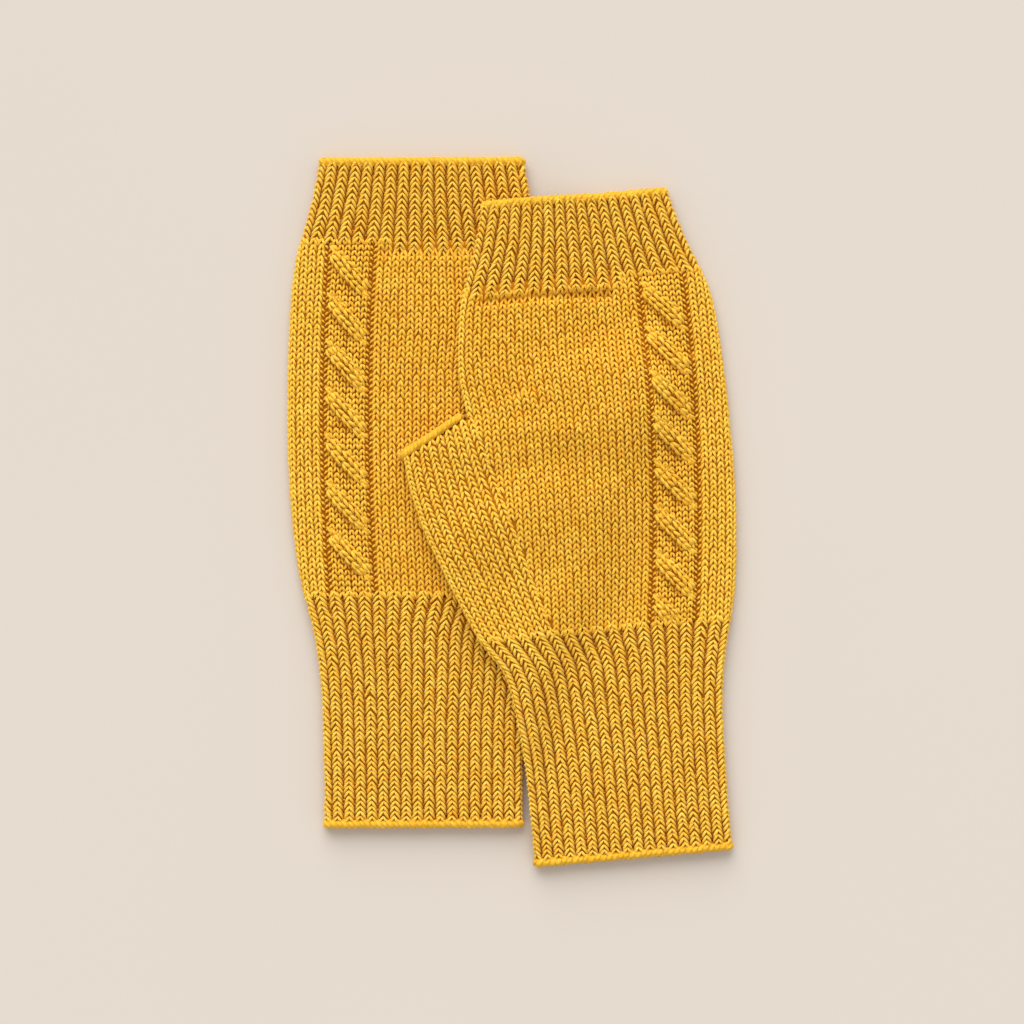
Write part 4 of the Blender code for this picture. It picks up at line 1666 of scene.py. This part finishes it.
@dataclass
class RibbedBand:
    """A ribbed band: its ground cloth and its stitches, all round."""

    mitten: Mitten
    node: str
    start: float
    end: float
    thumb: Side
    seed: int
    row_height: float = 1.79 * MM
    overlap: float = 1.3 * MM
    # The bumps in the ribs' grooves are painted dark: painted shade in the grooves, a little less of it in
    # the groove round the fold.
    groove_painted_shade: float = 0.2
    fold_groove_painted_shade: float = 0.35
    ground_rows: int = 24
    ground_steps: int = 4
    ground: GroundCloth = GroundCloth()

    @property
    def rows(self) -> int:
        """How many rows the band has."""
        return round((self.end - self.start) / self.row_height)

    def build(self, finishes: Finishes) -> tuple[bpy.types.Object, list[bpy.types.Object]]:
        """Build the band.

        Args:
            finishes: The materials.

        Returns:
            The ground cloth, and the pieces that lie on it.
        """
        count = CLOTH.rib_count
        rib = Rib(self.mitten, self.start, self.end, self.rows, self.thumb)
        fold = RibFold(self.mitten, self.start, self.end, self.rows)
        cloth = self.make_ground(rib, fold, finishes.groove)
        ends = self.start - self.overlap, self.end + self.overlap
        rib = Rib(self.mitten, *ends, self.rows, self.thumb)
        fold = RibFold(self.mitten, *ends, self.rows)
        front = YarnPile(f"{self.node}_front_stitches", self.seed)
        front.add(rib, RIB_LEG, middles(0, count + 1))
        front.add(rib, GROOVE_BUMP, tuple(range(0, count + 2)), self.groove_painted_shade)
        if self.thumb is Side.HAND:
            span = CLOTH.hand_top - CLOTH.rib_run, self.start - self.overlap
            run = RibRun(self.mitten, *span, round((span[1] - span[0]) / self.row_height), self.thumb)
            front.add(run, RIB_LEG, middles(0, count + 1))
            front.add(run, GROOVE_BUMP, tuple(range(1, count + 1)), self.groove_painted_shade)
        front.add(fold, RIB_LEG, middles(0, 1))
        front.add(fold, GROOVE_BUMP, (1,), self.fold_groove_painted_shade)
        back = YarnPile(f"{self.node}_back_stitches", self.seed + 1)
        back.add(rib, HIDDEN_RIB_LEG, middles(count + 1, 2 * count + 2))
        back.add(fold, HIDDEN_RIB_LEG, middles(1, 2))
        pieces = [pile.make(self.mitten, finishes.rib) for pile in (front, back)]
        return cloth, pieces

    def make_ground(self, rib: Rib, fold: RibFold, material: bpy.types.Material) -> bpy.types.Object:
        """Build the band's ground cloth, ribbed on the front and plain on the back.

        Args:
            rib: The band's front, thumb side and back.
            fold: Its fold beside the cable.
            material: The finish of the cloth.

        Returns:
            The new object.
        """
        count, steps, bent = CLOTH.rib_count, self.ground_steps, CLOTH.fold_ribs
        front = np.arange(steps * (count + bent)) / steps
        back = np.linspace(count + bent, 2 * count + bent, 2 * count, endpoint=False)
        rows = np.linspace(0, self.rows, self.ground_rows)
        wale, row = np.meshgrid(np.concatenate([front, back]), rows)
        first = rib.point(wale, row, -self.ground.sunk)
        wale, row = np.meshgrid(np.arange(steps * bent, 0, -1) / steps, rows)
        second = fold.point(wale, row, -self.ground.sunk)
        grid = np.concatenate([first, second], axis=1)
        return self.ground.make(f"{self.node}_cloth", [grid], material)


@dataclass
class KnitHand:
    """The hand: plain knitting, the rope cable and the thumb gusset, all round.

    Its ground's numbers are how many points each stretch of the cloth has, along or across.
    """

    mitten: Mitten
    seed: int
    row_height: float = 2.07 * MM
    palm_wales: int = 21
    back_wales: int = 30
    side_wales: int = 8
    side_pitch: float = 3.0 * MM
    round_wales: int = 3
    gusset_wales: int = 8
    gusset_rows: int = 38
    lobe_rows: int = 8
    overlap: float = 0.9 * MM
    thumb_overlap: float = 1.7 * MM
    # The gusset's stitches are painted lighter: painted light on its slope, as light falling on it would
    # give.
    gusset_painted_light: float = 0.66
    # The strip beside the cable is painted lighter: painted light on the side that turns up towards the
    # light.
    strip_painted_light: float = 0.7
    # The first wale round the hand's fold is painted lighter: a painted highlight along its rim.
    fold_painted_highlight: float = 0.8
    lane_shade: float = 0.5
    # The cable's lobes are painted lighter than its lanes: painted light on their raised backs.
    lobe_painted_light: float = 0.6
    # The purl channels' stitches are painted a little darker: painted shade in their sunk hollow.
    channel_painted_shade: float = 0.45
    cable_sunk: float = 0.5 * MM
    ground_overlap: float = 1.4 * MM
    ground_rows: tuple[int, int] = (60, 40)
    ground_strip: tuple[float, ...] = (0.0, 0.33, 0.67)
    ground_cable: int = 33
    ground_palm: int = 22
    ground_back: int = 30
    ground_gusset: int = 12
    ground_fold: int = 6
    ground: GroundCloth = GroundCloth()

    @property
    def node(self) -> str:
        """The CAD node that the hand stands for."""
        return f"{self.mitten.name}_hand"

    @property
    def rows(self) -> int:
        """How many rows the hand has."""
        return round((CLOTH.hand_top - CLOTH.hand_start) / self.row_height)

    def span(self) -> tuple[Mitten, float, float, int]:
        """The mitten, the hand's ends and its rows, as a stretch of knitting takes them."""
        return self.mitten, CLOTH.hand_start - self.overlap, CLOTH.hand_top + self.overlap, self.rows

    def build(self, finishes: Finishes) -> tuple[bpy.types.Object, list[bpy.types.Object]]:
        """Build the hand.

        Args:
            finishes: The materials.

        Returns:
            The ground cloth, and the pieces that lie on it.
        """
        gusset = Gusset(self.mitten, CLOTH.hand_start - self.overlap, CLOTH.crotch_along,
                        self.gusset_rows, self.gusset_wales, self.round_wales, self.thumb_overlap)
        fold_rows = round((CLOTH.hand_top - CLOTH.crotch_along) / self.row_height)
        hand_fold = HandFold(self.mitten, CLOTH.crotch_along, CLOTH.hand_top, fold_rows, self.round_wales)
        strip = SideStrip(*self.span(), self.side_pitch)
        front = YarnPile(f"{self.node}_front_stitches", self.seed)
        front.add(Palm(*self.span(), self.palm_wales), PLAIN_LEG, middles(0, self.palm_wales))
        front.add(gusset, PLAIN_LEG, middles(0, self.gusset_wales + 1), self.gusset_painted_light)
        front.add(strip, PLAIN_LEG, middles(0, self.side_wales), self.strip_painted_light)
        front.add(hand_fold, PLAIN_LEG, middles(0, 1), self.fold_painted_highlight)
        back = YarnPile(f"{self.node}_back_stitches", self.seed + 1)
        back.add(Palm(*self.span(), self.back_wales, back=True), HIDDEN_LEG, middles(0, self.back_wales))
        last = 2 * self.gusset_wales + self.round_wales
        back.add(gusset, HIDDEN_LEG, middles(self.gusset_wales + 1, last))
        back.add(hand_fold, HIDDEN_LEG, middles(1, self.round_wales))
        cable = YarnPile(f"{self.node}_cable_stitches", self.seed + 2)
        lanes = CableLanes(*self.span())
        cable.add(lanes, LANE_LEG, middles(0, lanes.wales), self.lane_shade)
        for number in self.mitten.lobe_numbers():
            lobe = CableLobe(self.mitten, 0.0, 1.0, self.lobe_rows, number)
            cable.add(lobe, LOBE_LEG, middles(0, lobe.wales), self.lobe_painted_light)
        for beside in (-1, 1):
            channel = Channel(*self.span(), beside)
            cable.add(channel, PURL_NEAR, (0.0,), self.channel_painted_shade)
            cable.add(channel, PURL_FAR, (0.0,), self.channel_painted_shade)
        cloth = self.make_ground(finishes.ground)
        pieces = [pile.make(self.mitten, finishes.hand) for pile in (front, back, cable)]
        return cloth, pieces

    def make_ground(self, material: bpy.types.Material) -> bpy.types.Object:
        """Build the hand's ground cloth: a tube below the crotch and one above it.

        Args:
            material: The finish of the cloth.

        Returns:
            The new object.
        """
        low_rows = np.linspace(CLOTH.hand_start, CLOTH.crotch_along, self.ground_rows[0])
        high_rows = np.linspace(CLOTH.crotch_along, CLOTH.hand_top, self.ground_rows[1])
        low = np.concatenate([
            self.front_points(low_rows), self.gusset_points(self.ground_rows[0]),
            self.back_points(low_rows), self.cable_fold_points(low_rows),
        ], axis=1)
        high = np.concatenate([
            self.front_points(high_rows), self.hand_fold_points(high_rows),
            self.back_points(high_rows), self.cable_fold_points(high_rows),
        ], axis=1)
        return self.ground.make(f"{self.node}_cloth", [low, high], material)

    def front_points(self, rows: Array) -> Array:
        """Points of the ground under the palm, the cable and the strip beside it.

        Args:
            rows: The places along the mitten of the ground's rows.

        Returns:
            The points, a row of them for each place along.
        """
        along = rows[:, None]
        start = -self.mitten.fold_start(Side.CABLE, along)
        middle, end = self.mitten.cable_middle(along), self.mitten.palm_end(along)
        near, far = middle - CLOTH.cable_reach, middle + CLOTH.cable_reach
        across = np.concatenate([
            mix(start, near, np.array(self.ground_strip)),
            mix(near, far, np.linspace(0.0, 1.0, self.ground_cable)),
            mix(far, end, np.linspace(0.0, 1.0, self.ground_palm)[1:]),
        ], axis=1)
        along = np.broadcast_to(along, across.shape)
        on_cable = np.abs(across - middle) < CLOTH.cable_half_width
        sunk = self.ground.sunk + np.where(on_cable, self.cable_sunk, 0.0)
        return self.mitten.front(across, along, self.mitten.cable_relief(across, along) - sunk)

    def gusset_points(self, count: int) -> Array:
        """Points of the ground all round the gusset, between its two lines on the palm.

        Args:
            count: How many rows the tube below the crotch has.

        Returns:
            The points, a row of them for each place along.
        """
        flat, bent = self.ground_gusset, self.ground_fold
        gusset = Gusset(self.mitten, CLOTH.hand_start, CLOTH.crotch_along, count - 1, flat, bent,
                        self.ground_overlap)
        wale, row = np.meshgrid(np.arange(1, 2 * flat + bent), np.arange(count))
        return gusset.point(wale, row, -self.ground.sunk)

    def bend_turns(self) -> Array:
        """The places of the ground's points round a folded side, from the front to the back."""
        return CLOTH.half_turn * np.arange(1, self.ground_fold) / self.ground_fold

    def hand_fold_points(self, rows: Array) -> Array:
        """Points of the ground round the hand's fold."""
        turn, along = np.meshgrid(self.bend_turns(), rows)
        return self.mitten.wrap(Side.HAND, turn, along, -self.ground.sunk)

    def back_points(self, rows: Array) -> Array:
        """Points of the ground's back layer, from the thumb's side to the cable's.

        Args:
            rows: The places along the mitten of the ground's rows.

        Returns:
            The points, a row of them for each place along.
        """
        along = rows[:, None]
        start = self.mitten.fold_start(Side.CABLE, along)
        across = mix(self.mitten.palm_end(along), -start, np.linspace(0.0, 1.0, self.ground_back))
        return self.mitten.back(across, np.broadcast_to(along, across.shape), -self.ground.sunk)

    def cable_fold_points(self, rows: Array) -> Array:
        """Points of the ground round the fold beside the cable, from the back to the front."""
        turn, along = np.meshgrid(self.bend_turns()[::-1], rows)
        return self.mitten.wrap(Side.CABLE, turn, along, -self.ground.sunk)


@dataclass
class RolledEdge:
    """A rolled edge: a soft core with slanted yarns round it."""

    mitten: Mitten
    node: str
    ring_start: tuple[float, float]
    ring_end: tuple[float, float]
    seed: int
    pitch: float = 2.1 * MM
    yarn_turns: tuple[float, ...] = (0.0, 0.33, 0.67)
    core_sides: int = 10
    # The core is painted darker than the yarns round it: painted shade where it shows between them.
    core_painted_shade: float = 0.3

    def build(self, finishes: Finishes) -> list[bpy.types.Object]:
        """Build the edge.

        Args:
            finishes: The materials.

        Returns:
            The core and the yarns.
        """
        places = self.ring_start, self.ring_end
        rows = round(Roll(self.mitten, 0.0, 0.0, 1, *places).girth / self.pitch)
        ring = Roll(self.mitten, 0.0, 0.0, rows, *places)
        wale, row = np.meshgrid(np.arange(self.core_sides) / self.core_sides, np.arange(2 * rows) / 2)
        core = GroundCloth().make(f"{self.node}_core", [ring.point(wale, row)], finishes.edge, True)
        tone = core.data.attributes.new("shade", "FLOAT", "POINT")
        tone.data.foreach_set("value", np.full(len(core.data.vertices), self.core_painted_shade, np.float32))
        layer = core.data.uv_layers.new(name="yarn")
        layer.uv.foreach_set("vector", np.zeros(2 * len(core.data.loops), np.float32))
        pile = YarnPile(f"{self.node}_yarns", self.seed)
        for turn in self.yarn_turns:
            pile.add(ring, ROLL_STRAND, (turn,))
        return [core, pile.make(self.mitten, finishes.edge)]


@dataclass
class KnitMitten:
    """A whole mitten, built from its bands, its hand and its rolled edges."""

    mitten: Mitten
    seed: int
    rests_on: list[str]
    seed_step: int = 10
    cut_rows: int = 200

    def build(self, finishes: Finishes) -> list[bpy.types.Object]:
        """Build the mitten and attach its pieces to the pair's body.

        Args:
            finishes: The materials.

        Returns:
            All the pieces.
        """
        name, built = self.mitten.name, []
        wrist = RibbedBand(self.mitten, f"{name}_wrist_rib", CLOTH.edge_tall + CLOTH.seam_gap,
                           CLOTH.wrist_rib_top, Side.THUMB, self.seed)
        hand = KnitHand(self.mitten, self.seed + self.seed_step)
        fingers = RibbedBand(self.mitten, f"{name}_finger_rib", CLOTH.hand_top + CLOTH.seam_gap,
                             CLOTH.length - CLOTH.edge_tall - CLOTH.seam_gap, Side.HAND,
                             self.seed + 2 * self.seed_step)
        edge_pieces = {node: edge.build(finishes) for node, edge in self.rolled_edges().items()}
        for node, pieces in edge_pieces.items():
            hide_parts(node)
            built += self.declare(pieces, Slot.EDGE)
        parts = (
            (wrist, Slot.RIB, f"{name}_wrist_edge"),
            (hand, Slot.HAND, f"{name}_thumb_edge"),
            (fingers, Slot.RIB, f"{name}_finger_edge"),
        )
        for part, slot, edge in parts:
            cloth, stitches = part.build(finishes)
            built += self.declare([cloth, *stitches], slot)
            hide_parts(part.node)
            width, length, area = self.cut(part)
        return built

    @staticmethod
    def declare(pieces: list[bpy.types.Object], slot: Slot) -> list[bpy.types.Object]:
        """Give some pieces their body.

        Args:
            pieces: The pieces.
            slot: Not used.

        Returns:
            The same pieces.
        """
        for piece in pieces:
            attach(piece, "root")
        return pieces

    def rolled_edges(self) -> dict[str, RolledEdge]:
        """The three rolled edges, by the CAD node that each stands for.

        Returns:
            The edges at the wrist, the fingers and the thumb.
        """
        mitten, name = self.mitten, self.mitten.name
        first_seed = self.seed + 3 * self.seed_step
        inset = CLOTH.roll_deep / 2 - CLOTH.roll_flare
        low, high = CLOTH.edge_tall / 2, CLOTH.length - CLOTH.edge_tall / 2
        cable = mitten.side(Side.CABLE, np.array([low, high]))
        wrist_end = float(mitten.side(Side.THUMB, np.array([low]))[0])
        finger_end = float(mitten.side(Side.HAND, np.array([high]))[0])
        crotch, tip = mitten.thumb_edge_line()
        ahead = (tip - crotch) / np.linalg.norm(tip - crotch)
        inward = np.array([ahead[1], -ahead[0]]) * CLOTH.edge_tall / 2
        thumb_start = crotch + inward + ahead * CLOTH.thumb_edge_clear
        thumb_end = tip + inward - ahead * inset
        ends = {
            "wrist_edge": ((inset - float(cable[0]), low), (wrist_end - inset, low)),
            "finger_edge": ((inset - float(cable[1]), high), (finger_end - inset, high)),
            "thumb_edge": (tuple(map(float, thumb_start)), tuple(map(float, thumb_end))),
        }
        return {
            f"{name}_{edge}": RolledEdge(mitten, f"{name}_{edge}", *places, first_seed + k)
            for k, (edge, places) in enumerate(ends.items())
        }

    def cut(self, part: RibbedBand | KnitHand) -> tuple[float, float, float]:
        """The flat width, length and area of a band or of the hand, all round the tube.

        Args:
            part: The band or the hand.

        Returns:
            The greatest girth, the length along the mitten, and the mean girth times it.
        """
        if isinstance(part, KnitHand):
            rows = np.linspace(CLOTH.hand_start, CLOTH.hand_top, self.cut_rows)
            below = rows <= CLOTH.crotch_along
            far = np.where(below, self.mitten.fold_start(Side.THUMB, rows),
                           self.mitten.fold_start(Side.HAND, rows))
        else:
            rows = np.linspace(part.start, part.end, self.cut_rows)
            far = self.mitten.fold_start(part.thumb, rows)
        girth = 2 * (far + self.mitten.fold_start(Side.CABLE, rows)) + 2 * CLOTH.half_turn
        length = float(rows[-1] - rows[0]) * self.mitten.stretch
        return float(girth.max()), length, float(girth.mean()) * length


@dataclass(frozen=True)
class Studio:
    """The pale floor, the soft light from above the fingers, and the camera straight overhead."""

    camera_height: float = 0.9006
    lens: float = 85.0
    sensor: float = 36.0
    floor_size: float = 6.0
    floor_drop: float = 0.05 * MM
    key_from: tuple[float, float, float] = (-0.25, 1.4, 1.0)
    key_angle: float = math.radians(56)
    key_strength: float = 2.68
    fill_strength: float = 0.68
    fill_colour: str = "#ffffff"

    def build(self) -> None:
        """Build the whole setting."""
        self.make_floor()
        self.make_lights()
        self.make_camera()
        bpy.context.scene.view_settings.view_transform = "Standard"

    def make_floor(self) -> None:
        """Build the floor, with its drop in its mesh."""
        deselect()
        bpy.ops.mesh.primitive_plane_add(size=self.floor_size, location=(0, 0, -self.floor_drop))
        bpy.ops.object.transform_apply(location=True, rotation=False, scale=False)
        floor = bpy.context.active_object
        floor.name = "floor"
        floor.data.materials.append(BOARD.make())

    def make_lights(self) -> None:
        """Build the broad, distant key light and the even fill from all round."""
        key = bpy.data.lights.new("key", "SUN")
        key.angle = self.key_angle
        key.energy = self.key_strength
        lamp = bpy.data.objects.new("key", key)
        lamp.location = self.key_from
        lamp.rotation_euler = (-lamp.location).to_track_quat("-Z", "Y").to_euler()
        bpy.context.scene.collection.objects.link(lamp)
        world = bpy.data.worlds.new("fill")
        world.use_nodes = True
        background = world.node_tree.nodes["Background"]
        background.inputs["Color"].default_value = linear(self.fill_colour)
        background.inputs["Strength"].default_value = self.fill_strength
        bpy.context.scene.world = world

    def make_camera(self) -> None:
        """Build the camera, straight above the pair."""
        data = bpy.data.cameras.new("overhead")
        data.lens = self.lens
        data.sensor_width = self.sensor
        camera = bpy.data.objects.new("overhead", data)
        camera.location = (0.0, 0.0, self.camera_height)
        bpy.context.scene.collection.objects.link(camera)
        bpy.context.scene.camera = camera


def main() -> None:
    """Build the setting and both mittens, and report each piece."""
    logging.basicConfig(level=logging.INFO, format="%(message)s")
    Studio().build()
    OVER.drape.settle(UNDER)
    finishes = Finishes.make()
    lower = KnitMitten(UNDER, seed=100, rests_on=["floor"])
    upper = KnitMitten(OVER, seed=200, rests_on=["floor", "under_hand_cloth"])
    for knitted in (lower, upper):
        for piece in knitted.build(finishes):
            log.info("%s: %d faces", piece.name, len(piece.data.polygons))


if __name__ == "__main__":
    main()
